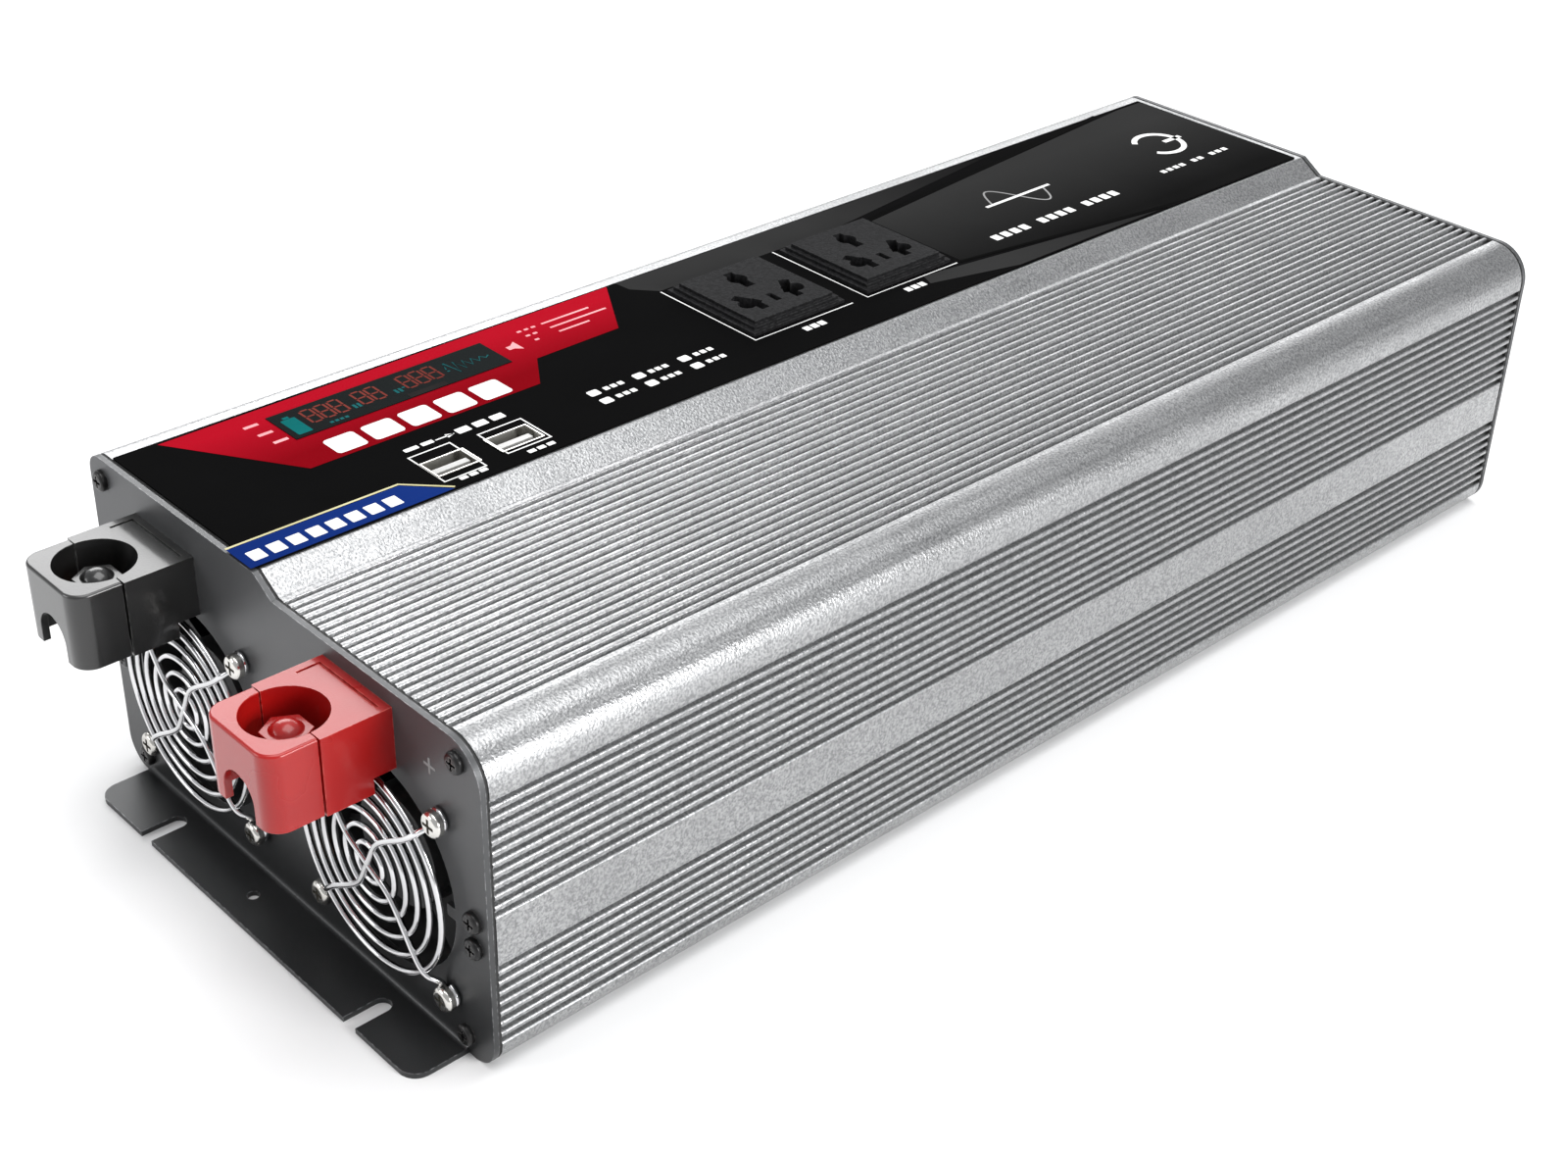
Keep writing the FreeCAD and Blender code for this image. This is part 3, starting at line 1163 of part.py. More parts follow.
def output_inductor():
    """Toroidal output choke lying flat on the board."""
    centre = Vector(INDUCTOR_X, INDUCTOR_Y, BOARD_TOP + INDUCTOR_TUBE_R)
    return Part.makeTorus(INDUCTOR_R - INDUCTOR_TUBE_R, INDUCTOR_TUBE_R, centre, Vector(0, 0, 1))


def fuses():
    """Row of plug-in blade fuses beside the positive strip."""
    shapes = []
    y = BOARD_FRONT_Y + FUSE_ROW_GAP
    for i in range(FUSE_COUNT):
        x = FUSE_ROW_X + (i - (FUSE_COUNT - 1) / 2.0) * FUSE_PITCH
        body = block(x - FUSE_HALF_WIDTH, x + FUSE_HALF_WIDTH, y - FUSE_HALF_LENGTH, y + FUSE_HALF_LENGTH,
                     BOARD_TOP + FUSE_BOTTOM, BOARD_TOP + FUSE_TOP)
        blades = [block(x - FUSE_BLADE_HALF_THICKNESS, x + FUSE_BLADE_HALF_THICKNESS,
                        blade_y - FUSE_BLADE_HALF_LENGTH, blade_y + FUSE_BLADE_HALF_LENGTH,
                        BOARD_TOP, BOARD_TOP + FUSE_BOTTOM + 1)
                  for blade_y in (y - FUSE_BLADE_OFFSET, y + FUSE_BLADE_OFFSET)]
        shapes.append(join([body] + blades))
    return shapes


def control_board():
    """Upright driver board near the switch end."""
    half = CONTROL_BOARD_WIDTH / 2
    y = BOARD_REAR_Y - CONTROL_BOARD_REAR_GAP
    board = block(-half, half, y, y + BOARD_THICKNESS, BOARD_TOP, BOARD_TOP + CONTROL_BOARD_HEIGHT)
    chips = []
    face = y + BOARD_THICKNESS
    for i in range(CHIP_COUNT):
        x = -half + CHIP_FIRST + i * CHIP_PITCH
        chips.append(block(x - CHIP_HALF_WIDTH, x + CHIP_HALF_WIDTH, face - 0.1, face + CHIP_THICKNESS,
                           BOARD_TOP + CHIP_BOTTOM, BOARD_TOP + CHIP_TOP))
    return join([board] + chips)


def contact_places(y):
    """Contact centres (x, y) of the socket centred at y."""
    return ((SOCKET_X - 8.0, y), (SOCKET_X + 6.5, y - 7.6), (SOCKET_X + 6.5, y + 7.6))


def lead(points, r):
    """Insulated lead along straight runs joined by tangent arcs."""
    edges = []
    last = points[0]
    for i in range(1, len(points) - 1):
        corner = points[i]
        back = points[i - 1].sub(corner)
        ahead = points[i + 1].sub(corner)
        reach = 0.45 * min(back.Length, ahead.Length)
        start = corner.add(Vector(back).normalize().multiply(reach))
        end = corner.add(Vector(ahead).normalize().multiply(reach))
        turn = math.pi - back.getAngle(ahead)
        radius = reach / math.tan(turn / 2.0)
        bisector = Vector(back).normalize().add(Vector(ahead).normalize()).normalize()
        centre = corner.add(Vector(bisector).multiply(radius / math.cos(turn / 2.0)))
        middle = centre.sub(Vector(bisector).multiply(radius))
        edges.append(Part.makeLine(last, start))
        edges.append(Part.Arc(start, middle, end).toShape())
        print("lead bend radius %.1f" % radius)
        last = end
    edges.append(Part.makeLine(last, points[-1]))
    path = Part.Wire(edges)
    way = points[1].sub(points[0])
    ring = Part.Wire(Part.makeCircle(r, points[0], way))
    return path.makePipeShell([ring], True, False)


def fan_leads():
    """Short lead from the rear of each fan down to the board."""
    shapes = []
    for x, side in ((FAN_CENTRES_X[0], 1), (FAN_CENTRES_X[1], -1)):
        lead_x = x + side * (FAN_SIZE / 2 - FAN_LEAD_EDGE)
        z = FAN_CENTRE_HEIGHT - FAN_LEAD_DROP
        far_y = BOARD_FRONT_Y + FAN_LEAD_REACH
        points = [Vector(lead_x, FAN_REAR_Y, z), Vector(lead_x, far_y, z), Vector(lead_x, far_y, BOARD_TOP)]
        shapes.append(lead(points, FAN_LEAD_R))
    return shapes


def socket_leads():
    """Three leads from the floor of each socket down to the board."""
    top = PLATEAU_HEIGHT - SOCKET_DEPTH
    drop = top - BOARD_TOP
    shapes = []
    for y_from_front in SOCKET_Y:
        for x, y in contact_places(FRONT_Y + y_from_front):
            points = [Vector(x, y, top), Vector(x, y, top - drop * 0.3),
                      Vector(x + SOCKET_LEAD_BOW, y, top - drop * 0.65),
                      Vector(x + SOCKET_LEAD_BOW, y, BOARD_TOP)]
            shapes.append(lead(points, SOCKET_LEAD_R))
    return shapes


# ---- switch end ------------------------------------------------------------------------
def switch_outline(margin, y0, y1):
    """Box (x0, x1, y0, y1, z0, z1) of the switch bezel, grown by margin."""
    half_x = SWITCH_WIDTH / 2 + margin
    half_z = SWITCH_HEIGHT / 2 + margin
    return (SWITCH_X - half_x, SWITCH_X + half_x, y0, y1, SWITCH_Z - half_z, SWITCH_Z + half_z)


def switch_body():
    """Switch housing: bezel outside the plate, box inside it, open at the rocker."""
    bezel = block(*switch_outline(0.0, REAR_Y, REAR_Y + 2.0))
    box = block(*switch_outline(-SWITCH_BEZEL, REAR_Y - SWITCH_DEPTH, REAR_Y + 1.0))
    well = block(*switch_outline(-SWITCH_BEZEL - SWITCH_WALL, REAR_Y - SWITCH_DEPTH + 4, REAR_Y + 3))
    shape = bezel.fuse(box).cut(well)
    length = SWITCH_HEIGHT + 2
    pin = Part.makeCylinder(ROCKER_PIN_R, length, rocker_axis_point(length), Vector(0, 0, 1))
    inside = block(*switch_outline(-SWITCH_BEZEL - 0.2, REAR_Y - SWITCH_DEPTH, REAR_Y + 1.0))
    return shape.fuse(pin.common(inside)).removeSplitter()


def rocker_axis_point(length):
    """Foot of the rocker's upright pivot axis."""
    return Vector(SWITCH_X, REAR_Y - 5.0, SWITCH_Z - length / 2)


def rocker():
    """Rocker with two sloping press faces, pivoting on the switch's pin."""
    half_x = SWITCH_WIDTH / 2 - SWITCH_BEZEL - SWITCH_WALL - ROCKER_SWING_GAP
    half_z = SWITCH_HEIGHT / 2 - SWITCH_BEZEL - SWITCH_WALL - ROCKER_GAP
    axis = rocker_axis_point(0)
    back = axis.y - 4.0
    middle = REAR_Y + 1.6
    tip = REAR_Y + 2.8
    outline = [Vector(SWITCH_X - half_x + 2.2, back, 0), Vector(SWITCH_X + half_x - 2.2, back, 0),
               Vector(SWITCH_X + half_x, tip, 0), Vector(SWITCH_X, middle, 0),
               Vector(SWITCH_X - half_x, tip, 0)]
    outline = [Vector(p.x, p.y, SWITCH_Z - half_z) for p in outline]
    outline.append(outline[0])
    body = Part.Face(Part.makePolygon(outline)).extrude(Vector(0, 0, 2 * half_z))
    bore = rod_z(SWITCH_X, axis.y, SWITCH_Z - half_z - 1, SWITCH_Z + half_z + 1,
                 ROCKER_PIN_R + FAN_RUNNING_FIT)
    shape = body.cut(bore)
    shape.rotate(Vector(SWITCH_X, axis.y, SWITCH_Z), Vector(0, 0, 1), -ROCKER_TILT)
    return shape


def remote_jack():
    """Remote-control socket in the switch-end plate."""
    half = REMOTE_SIZE / 2
    rim = half + 1.5
    body = block(REMOTE_X - half, REMOTE_X + half, REAR_Y - 16, REAR_Y + 1.0, REMOTE_Z - half, REMOTE_Z + half)
    flange = block(REMOTE_X - rim, REMOTE_X + rim, REAR_Y, REAR_Y + 1.0, REMOTE_Z - rim, REMOTE_Z + rim)
    hole = block(REMOTE_X - 5, REMOTE_X + 5, REAR_Y - 12, REAR_Y + 2, REMOTE_Z - 4, REMOTE_Z + 3)
    key = block(REMOTE_X - 2, REMOTE_X + 2, REAR_Y - 12, REAR_Y + 2, REMOTE_Z - 5.5, REMOTE_Z - 3.5)
    return body.fuse(flange).cut([hole, key]).removeSplitter()


def earth_stud():
    """Earth stud with its head inside the plate."""
    inside_y = REAR_Y - PLATE_THICKNESS
    head = rod_y(EARTH_X, EARTH_Z, inside_y - 2.0, inside_y, EARTH_STUD_R + 2.0)
    shank = rod_y(EARTH_X, EARTH_Z, inside_y - 1.0, REAR_Y + EARTH_STUD_LENGTH, EARTH_STUD_R)
    return head.fuse(shank).removeSplitter()


def earth_nut():
    """Nut and washer on the earth stud, against the plate."""
    washer = rod_y(EARTH_X, EARTH_Z, REAR_Y, REAR_Y + 1.0, 5.5)
    nut = hexagon_z(0, 0, 0, 4.0, 8.0)
    nut.rotate(Vector(0, 0, 0), Vector(1, 0, 0), -90)
    nut.translate(Vector(EARTH_X, REAR_Y + 1.0, EARTH_Z))
    bore = rod_y(EARTH_X, EARTH_Z, REAR_Y - 1, REAR_Y + 8, EARTH_STUD_R + 0.02)
    return washer.fuse(nut).cut(bore).removeSplitter()


def build():
    """Build every node and write its file."""
    os.makedirs("parts", exist_ok=True)
    export("upper_housing", [upper_housing()])
    export("lower_housing", [lower_housing()])
    export("front_end_plate", [front_end_plate()])
    export("rear_end_plate", [rear_end_plate()])
    export("front_gasket", [gasket(-1)])
    export("rear_gasket", [gasket(1)])
    export("front_plate_screws", plate_screws(-1))
    export("rear_plate_screws", plate_screws(1))
    export("label_panel", [label_panel()])
    export("display_window", [display_window()])
    export("display_board", [display_board()])
    for i, y in enumerate(SOCKET_Y, start=1):
        export("ac_socket_%d" % i, [socket_body(y)])
        export("ac_contacts_%d" % i, socket_contacts(y))
    for i, y in enumerate(USB_Y, start=1):
        export("usb_shell_%d" % i, [usb_shell(y)])
    export("usb_tongues", [usb_tongue(y) for y in USB_Y])
    export("usb_board", [usb_board()])
    for i, x in enumerate(FAN_CENTRES_X, start=1):
        export("fan_frame_%d" % i, [fan_frame(x)])
        export("fan_rotor_%d" % i, [fan_rotor(x)])
        export("fan_guard_%d" % i, [fan_guard(x)])
    export("fan_screws", fan_screws())
    for name, x in (("negative", NEGATIVE_X), ("positive", POSITIVE_X)):
        export(name + "_terminal_base", [terminal_base(x)])
        export(name + "_terminal_cap", [terminal_cap(x)])
        export(name + "_stud", [terminal_stud(x)])
        export(name + "_washer", [terminal_washer(x)])
        export(name + "_nut", [terminal_nut(x)])
        export(name + "_busbar", [busbar(x)])
    export("main_board", [main_board()])
    export("insulating_sheet", [insulating_sheet()])
    export("board_standoffs", standoffs())
    export("board_screws", board_screws())
    for name, side in (("left", -1), ("right", 1)):
        export(name + "_heatsink", [heatsink(side)])
        export(name + "_transistors", transistor_row(side))
    export("transformer_cores", transformer_cores())
    export("transformer_windings", transformer_windings())
    export("bulk_capacitors", bulk_capacitors())
    export("input_capacitors", input_capacitors())
    export("output_inductor", [output_inductor()])
    export("fuses", fuses())
    export("control_board", [control_board()])
    export("fan_leads", fan_leads())
    export("socket_leads", socket_leads())
    export("switch_body", [switch_body()])
    export("switch_rocker", [rocker()])
    export("remote_jack", [remote_jack()])
    export("earth_stud", [earth_stud()])
    export("earth_nut", [earth_nut()])


build()
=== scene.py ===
"""Power inverter: finishes and fine detail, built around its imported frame."""

import json
import logging
import math
from collections.abc import Iterable, Sequence
from dataclasses import dataclass
from enum import Enum

import bpy
from mathutils import Matrix, Vector


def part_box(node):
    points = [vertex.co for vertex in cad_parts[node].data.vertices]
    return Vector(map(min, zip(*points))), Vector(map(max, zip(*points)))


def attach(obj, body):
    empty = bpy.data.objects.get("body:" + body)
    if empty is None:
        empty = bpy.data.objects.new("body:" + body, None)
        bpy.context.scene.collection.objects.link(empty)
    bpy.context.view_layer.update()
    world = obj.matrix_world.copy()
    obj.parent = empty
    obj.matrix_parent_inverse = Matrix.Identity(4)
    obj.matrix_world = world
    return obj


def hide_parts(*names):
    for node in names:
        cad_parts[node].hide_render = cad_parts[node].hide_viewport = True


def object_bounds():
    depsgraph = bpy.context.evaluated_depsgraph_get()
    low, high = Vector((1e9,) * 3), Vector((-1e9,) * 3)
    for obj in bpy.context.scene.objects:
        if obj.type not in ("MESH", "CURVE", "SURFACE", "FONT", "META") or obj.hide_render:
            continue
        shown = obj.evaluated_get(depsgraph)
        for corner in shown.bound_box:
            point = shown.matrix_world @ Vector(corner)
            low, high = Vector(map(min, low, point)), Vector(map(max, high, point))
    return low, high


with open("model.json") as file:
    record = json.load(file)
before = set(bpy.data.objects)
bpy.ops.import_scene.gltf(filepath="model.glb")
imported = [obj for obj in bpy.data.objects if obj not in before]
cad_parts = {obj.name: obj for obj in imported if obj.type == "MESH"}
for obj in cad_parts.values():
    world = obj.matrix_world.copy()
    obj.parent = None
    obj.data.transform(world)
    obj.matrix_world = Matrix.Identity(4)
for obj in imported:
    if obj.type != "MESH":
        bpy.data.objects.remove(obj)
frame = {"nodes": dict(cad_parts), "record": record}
CAD_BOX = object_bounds()

LOG = logging.getLogger("inverter")
MM = 0.001
FULL_TURN = 2 * math.pi
ROOT_BODY = "inverter"

Object = bpy.types.Object
Colour = tuple[float, float, float]
Point = tuple[float, float]
Place = tuple[float, float, float]
Outline = list[Point]

LABEL_INSET = 2.3 * MM      # from where the artwork is measured to the label's near edge
FRONT_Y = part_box("label_panel")[0].y - LABEL_INSET
LABEL_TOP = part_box("label_panel")[1].z
PLATE_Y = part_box("fan_guard_1")[1].y


# ---- shared surface effects ------------
class Wiring:
    """A node tree that is being laid out."""

    def __init__(self, tree: bpy.types.NodeTree) -> None:
        """Args:
            tree: The tree that nodes are added to."""
        self.tree = tree

    def node(self, kind: str, feeds: dict | None = None, **settings) -> bpy.types.Node:
        """Adds one node.

        Args:
            kind: The node's type, without its "ShaderNode" prefix.
            feeds: Its inputs by name or number; a socket is linked, anything else is set.
            settings: Attributes of the node itself.

        Returns:
            The new node.
        """
        made = self.tree.nodes.new("ShaderNode" + kind)
        for key, value in settings.items():
            setattr(made, key, value)
        for key, value in (feeds or {}).items():
            self.feed(made.inputs[key], value)
        return made

    def feed(self, target: bpy.types.NodeSocket, value) -> None:
        """Links a socket to the target, or sets the target's own value."""
        if isinstance(value, bpy.types.NodeSocket):
            self.tree.links.new(value, target)
        else:
            target.default_value = value

    def sum(self, operation: str, first, second=0.0) -> bpy.types.NodeSocket:
        """One step of arithmetic, as a socket."""
        return self.node("Math", {0: first, 1: second}, operation=operation).outputs[0]

    def here(self) -> bpy.types.NodeSocket:
        """The place in the object's own space, as a socket."""
        return self.node("TexCoord").outputs["Object"]

    def noise(self, place, scale, detail: float, roughness: float = 0.5):
        """Noise at a place, as a socket."""
        feeds = {"Vector": place, "Scale": scale, "Detail": detail, "Roughness": roughness}
        return self.node("TexNoise", feeds).outputs["Fac"]

    def between(self, value, low: float, high: float, out_low=0.0, out_high=1.0):
        """The value remapped from low and high to two new ends, clamped."""
        feeds = {"Value": value, "From Min": low, "From Max": high,
                 "To Min": out_low, "To Max": out_high}
        return self.node("MapRange", feeds).outputs[0]

    def blend(self, mask, first, second) -> bpy.types.NodeSocket:
        """Two colours mixed by a mask, as a socket."""
        node = self.node("Mix", data_type="RGBA")
        self.feed(node.inputs[0], mask)
        for number, colour in ((6, first), (7, second)):
            value = colour if isinstance(colour, bpy.types.NodeSocket) else (*colour, 1.0)
            self.feed(node.inputs[number], value)
        return node.outputs[2]


class Effect(Enum):
    """Surface effects that several finishes share, each one node group."""

    WANDER = "slow colour wander"
    GRAIN = "fine grain"
    DRAWN = "drawing lines"
    WEAR = "edge wear"
    DUST = "settled dust"


PATCH_SPAN = (0.32, 0.68)       # noise from no patch to a full one
GRAIN_SPAN = (0.36, 0.64)
LINE_SPAN = (0.3, 0.7)
BROKEN_SPAN = (0.42, 0.62)
DUST_SPAN = (0.4, 0.8)
UPWARD_SPAN = (0.3, 1.0)        # how far a face looks up before dust lies on it
EDGE_SPAN = (0.995, 0.86)       # agreement of the true and the rounded normal
PIT_DEPTH = 0.5
LINE_STRETCH = (1.0, 0.012, 1.0)


class EffectShelf:
    """Builds each shared effect once and hands it out."""

    SOCKETS = {
        Effect.WANDER: (("Scale",), ("Mask",)),
        Effect.GRAIN: (("Scale",), ("Height", "Mask")),
        Effect.DRAWN: (("Scale",), ("Height", "Mask")),
        Effect.WEAR: (("Reach", "Scale"), ("Mask",)),
        Effect.DUST: (("Scale",), ("Mask",)),
    }

    def __init__(self) -> None:
        """Starts with no effect built."""
        self.groups: dict[Effect, bpy.types.NodeTree] = {}

    def get(self, effect: Effect) -> bpy.types.NodeTree:
        """The group of an effect, built the first time that it is asked for."""
        if effect not in self.groups:
            self.groups[effect] = self.build(effect)
        return self.groups[effect]

    def build(self, effect: Effect) -> bpy.types.NodeTree:
        """Builds one effect's node group.

        Args:
            effect: Which effect.

        Returns:
            The group, with named inputs and outputs.
        """
        tree = bpy.data.node_groups.new(effect.value, "ShaderNodeTree")
        for way, names in zip(("INPUT", "OUTPUT"), self.SOCKETS[effect]):
            for name in names:
                tree.interface.new_socket(name=name, in_out=way, socket_type="NodeSocketFloat")
        wiring = Wiring(tree)
        entry = tree.nodes.new("NodeGroupInput")
        leave = tree.nodes.new("NodeGroupOutput")
        lay_out = getattr(self, effect.name.lower())
        for name, socket in lay_out(wiring, entry.outputs).items():
            wiring.feed(leave.inputs[name], socket)
        return tree

    @staticmethod
    def wander(wiring: Wiring, given) -> dict:
        """Broad soft patches."""
        noise = wiring.noise(wiring.here(), given["Scale"], 3.0)
        return {"Mask": wiring.between(noise, *PATCH_SPAN)}

    @staticmethod
    def grain(wiring: Wiring, given) -> dict:
        """Tiny bumps, as shot blasting or spark texture leaves."""
        place = wiring.here()
        noise = wiring.noise(place, given["Scale"], 2.0, 0.6)
        pits = wiring.node("TexVoronoi", {"Vector": place, "Scale": given["Scale"]})
        depth = wiring.sum("MULTIPLY", pits.outputs["Distance"], PIT_DEPTH)
        return {"Height": wiring.sum("ADD", noise, depth),
                "Mask": wiring.between(noise, *GRAIN_SPAN)}

    @staticmethod
    def drawn(wiring: Wiring, given) -> dict:
        """Fine lines along Y, as drawing through a die leaves."""
        longer = wiring.node("Mapping", {"Vector": wiring.here(), "Scale": LINE_STRETCH})
        noise = wiring.noise(longer.outputs[0], given["Scale"], 3.0, 0.65)
        return {"Height": noise, "Mask": wiring.between(noise, *LINE_SPAN)}

    @staticmethod
    def wear(wiring: Wiring, given) -> dict:
        """A broken mask along outer edges."""
        rounded = wiring.node("Bevel", {"Radius": given["Reach"]}, samples=4)
        plain = wiring.node("NewGeometry")
        dot = wiring.node("VectorMath", {0: rounded.outputs[0], 1: plain.outputs["Normal"]},
                          operation="DOT_PRODUCT")
        edge = wiring.between(dot.outputs["Value"], *EDGE_SPAN)
        noise = wiring.noise(wiring.here(), given["Scale"], 4.0)
        broken = wiring.between(noise, *BROKEN_SPAN)
        return {"Mask": wiring.sum("MULTIPLY", edge, broken)}

    @staticmethod
    def dust(wiring: Wiring, given) -> dict:
        """A faint film on faces that look up."""
        normal = wiring.node("NewGeometry").outputs["Normal"]
        parts = wiring.node("SeparateXYZ", {0: normal})
        upward = wiring.between(parts.outputs["Z"], *UPWARD_SPAN)
        noise = wiring.noise(wiring.here(), given["Scale"], 6.0)
        settled = wiring.between(noise, *DUST_SPAN)
        return {"Mask": wiring.sum("MULTIPLY", upward, settled)}


SHELF = EffectShelf()


# ---- finishes ------------
WEAR_SCALE = 700.0
DUST_SCALE = 90.0
DUST_COLOUR = (0.42, 0.41, 0.39)
DUST_ROUGHNESS = 0.35
COAT_ROUGHNESS = 0.12
BUMP_DISTANCE = 0.0001
FADE_SHARE = 0.94               # the rest of a fade is soft patches
PATCH_SHARE = 0.06
PRINT_SHINE = 0.001
SEGMENT_GLOW = 0.15


def grey(value: float) -> Colour:
    """An even grey."""
    return value, value, value


@dataclass(frozen=True)
class Finish:
    """A surface finish, with the share of each shared effect in it."""

    name: str
    colour: Colour
    second: Colour
    roughness: float
    metallic: float = 0.0
    swing: float = 0.08           # how far the roughness wanders
    wander_scale: float = 45.0
    grain_scale: float = 2600.0
    grain_bump: float = 0.0
    grain_tint: Colour | None = None
    drawn_bump: float = 0.0
    drawn_scale: float = 900.0
    wear_colour: Colour | None = None
    wear_reach: float = 0.0004
    dust: float = 0.0
    coat: float = 0.0
    fade: tuple[str, float, float] | None = None   # axis and two places: colour to second
    specular: float = 0.5
    glow: float = 0.0

    def build(self) -> bpy.types.Material:
        """Makes the material.

        Returns:
            The new material.
        """
        material = bpy.data.materials.new(self.name)
        material.use_nodes = True
        wiring = Wiring(material.node_tree)
        shader = material.node_tree.nodes["Principled BSDF"]
        mask = self.broad_mask(wiring)
        colour = wiring.blend(mask, self.colour, self.second)
        rough = wiring.between(mask, 0.0, 1.0, self.roughness - self.swing / 2,
                               self.roughness + self.swing / 2)
        height = None
        if self.grain_bump or self.grain_tint:
            grain = self.effect(wiring, Effect.GRAIN, Scale=self.grain_scale)
            height = wiring.sum("MULTIPLY", grain["Height"], self.grain_bump)
            if self.grain_tint:
                colour = wiring.blend(grain["Mask"], colour, self.grain_tint)
        if self.drawn_bump:
            drawn = self.effect(wiring, Effect.DRAWN, Scale=self.drawn_scale)
            lines = wiring.sum("MULTIPLY", drawn["Height"], self.drawn_bump)
            height = lines if height is None else wiring.sum("ADD", height, lines)
            rough = wiring.sum("ADD", rough, wiring.sum("MULTIPLY", drawn["Mask"], self.swing))
        if self.wear_colour:
            worn = self.effect(wiring, Effect.WEAR, Reach=self.wear_reach,
                               Scale=WEAR_SCALE)["Mask"]
            colour = wiring.blend(worn, colour, self.wear_colour)
        if self.dust:
            film = self.effect(wiring, Effect.DUST, Scale=DUST_SCALE)["Mask"]
            share = wiring.sum("MULTIPLY", film, self.dust)
            colour = wiring.blend(share, colour, DUST_COLOUR)
            rough = wiring.sum("ADD", rough, wiring.sum("MULTIPLY", share, DUST_ROUGHNESS))
        wiring.feed(shader.inputs["Base Color"], colour)
        wiring.feed(shader.inputs["Roughness"], rough)
        if height is not None:
            bump = wiring.node("Bump", {"Height": height, "Strength": 1.0,
                                        "Distance": BUMP_DISTANCE})
            wiring.feed(shader.inputs["Normal"], bump.outputs[0])
        shader.inputs["Metallic"].default_value = self.metallic
        shader.inputs["Coat Weight"].default_value = self.coat
        shader.inputs["Coat Roughness"].default_value = COAT_ROUGHNESS
        shader.inputs["Specular IOR Level"].default_value = self.specular
        if self.glow:
            wiring.feed(shader.inputs["Emission Color"], colour)
            shader.inputs["Emission Strength"].default_value = self.glow
        return material

    def broad_mask(self, wiring: Wiring) -> bpy.types.NodeSocket:
        """The mask from colour to second: a fade along an axis, or soft patches."""
        patches = self.effect(wiring, Effect.WANDER, Scale=self.wander_scale)["Mask"]
        if self.fade is None:
            return patches
        # A fade along an axis: printed gradients on the label inks, and painted shade on the plate
        # (darker towards the bottom).
        axis, low, high = self.fade
        along = wiring.node("SeparateXYZ", {0: wiring.here()}).outputs[axis]
        ramp = wiring.between(along, low, high)
        return wiring.sum("ADD", wiring.sum("MULTIPLY", ramp, FADE_SHARE),
                          wiring.sum("MULTIPLY", patches, PATCH_SHARE))

    @staticmethod
    def effect(wiring: Wiring, kind: Effect, **amounts: float):
        """The outputs of a shared effect placed in this material."""
        node = wiring.node("Group")
        node.node_tree = SHELF.get(kind)
        for name, value in amounts.items():
            node.inputs[name].default_value = value
        return node.outputs


ALUMINIUM = Finish(
    "blasted aluminium", (0.49, 0.493, 0.497), (0.42, 0.423, 0.427), 0.30, metallic=1.0,
    grain_scale=1500.0, grain_bump=0.75, grain_tint=(0.25, 0.253, 0.257), drawn_bump=0.25,
    swing=0.10)
# Plate paint with painted shade: the fade along Z takes the colour from dark at the bottom to
# lighter at the top, in place of the fall of light down the plate.
PLATE_PAINT_AND_SHADE = Finish(
    "plate paint and painted shade", (0.030, 0.031, 0.032), (0.088, 0.090, 0.093), 0.38, metallic=0.5,
    grain_scale=3200.0, grain_bump=0.22, wear_colour=(0.30, 0.30, 0.31), fade=("Z", 0.002, 0.088))
SEAL = Finish("seal rubber", grey(0.012), grey(0.02), 0.75, grain_bump=0.3)
BLACK_STEEL = Finish(
    "black oxide steel", (0.020, 0.020, 0.021), (0.035, 0.034, 0.033), 0.34, metallic=0.7,
    grain_bump=0.12, wear_colour=(0.35, 0.34, 0.33))
LABEL_FILM = Finish(
    "label film", (0.0030, 0.0030, 0.0031), (0.0038, 0.0038, 0.0039), 0.46, grain_scale=3800.0,
    grain_bump=0.10, specular=PRINT_SHINE)
SMOKED_WINDOW = Finish(
    "smoked window", (0.0032, 0.0048, 0.0050), (0.0045, 0.0065, 0.0068), 0.30, swing=0.02,
    specular=0.004)
SOCKET_PLASTIC = Finish(
    "socket plastic", (0.008, 0.008, 0.0084), (0.012, 0.012, 0.0124), 0.50, grain_scale=1100.0,
    grain_bump=1.1, grain_tint=(0.018, 0.018, 0.019), wear_colour=grey(0.05), specular=0.02)
BRASS = Finish("brass", (0.72, 0.55, 0.25), (0.60, 0.44, 0.19), 0.28, metallic=1.0, grain_bump=0.1)
BRIGHT_STEEL = Finish(
    "nickel plate", (0.74, 0.73, 0.70), (0.62, 0.60, 0.56), 0.20, metallic=1.0, grain_bump=0.08,
    grain_scale=1800.0)
LIGHT_PLASTIC = Finish(
    "light plastic", (0.50, 0.50, 0.49), (0.42, 0.42, 0.41), 0.45, grain_bump=0.2)
FAN_PLASTIC = Finish(
    "fan plastic", (0.016, 0.016, 0.017), (0.024, 0.024, 0.025), 0.40, grain_bump=0.3,
    wear_colour=grey(0.07), dust=0.12)
CHROMED_WIRE = Finish(
    "chromed wire", (0.74, 0.74, 0.75), (0.62, 0.62, 0.63), 0.10, metallic=1.0, swing=0.06,
    drawn_bump=0.05)
BLACK_COVER = Finish(
    "black cover", grey(0.006), grey(0.010), 0.36, grain_scale=2400.0, grain_bump=0.30,
    wear_colour=(0.10, 0.10, 0.095), dust=0.05, coat=0.8, specular=0.4)
RED_COVER = Finish(
    "red cover", (0.34, 0.006, 0.005), (0.29, 0.004, 0.004), 0.28, grain_scale=2400.0,
    grain_bump=0.22, wear_colour=(0.60, 0.12, 0.10), dust=0.05, coat=0.45, specular=0.3)
COPPER = Finish(
    "bare copper", (0.74, 0.34, 0.19), (0.55, 0.24, 0.13), 0.32, metallic=1.0, grain_bump=0.1)
MILL_ALUMINIUM = Finish(
    "mill aluminium", (0.68, 0.69, 0.70), (0.55, 0.56, 0.57), 0.32, metallic=1.0, drawn_bump=0.5)
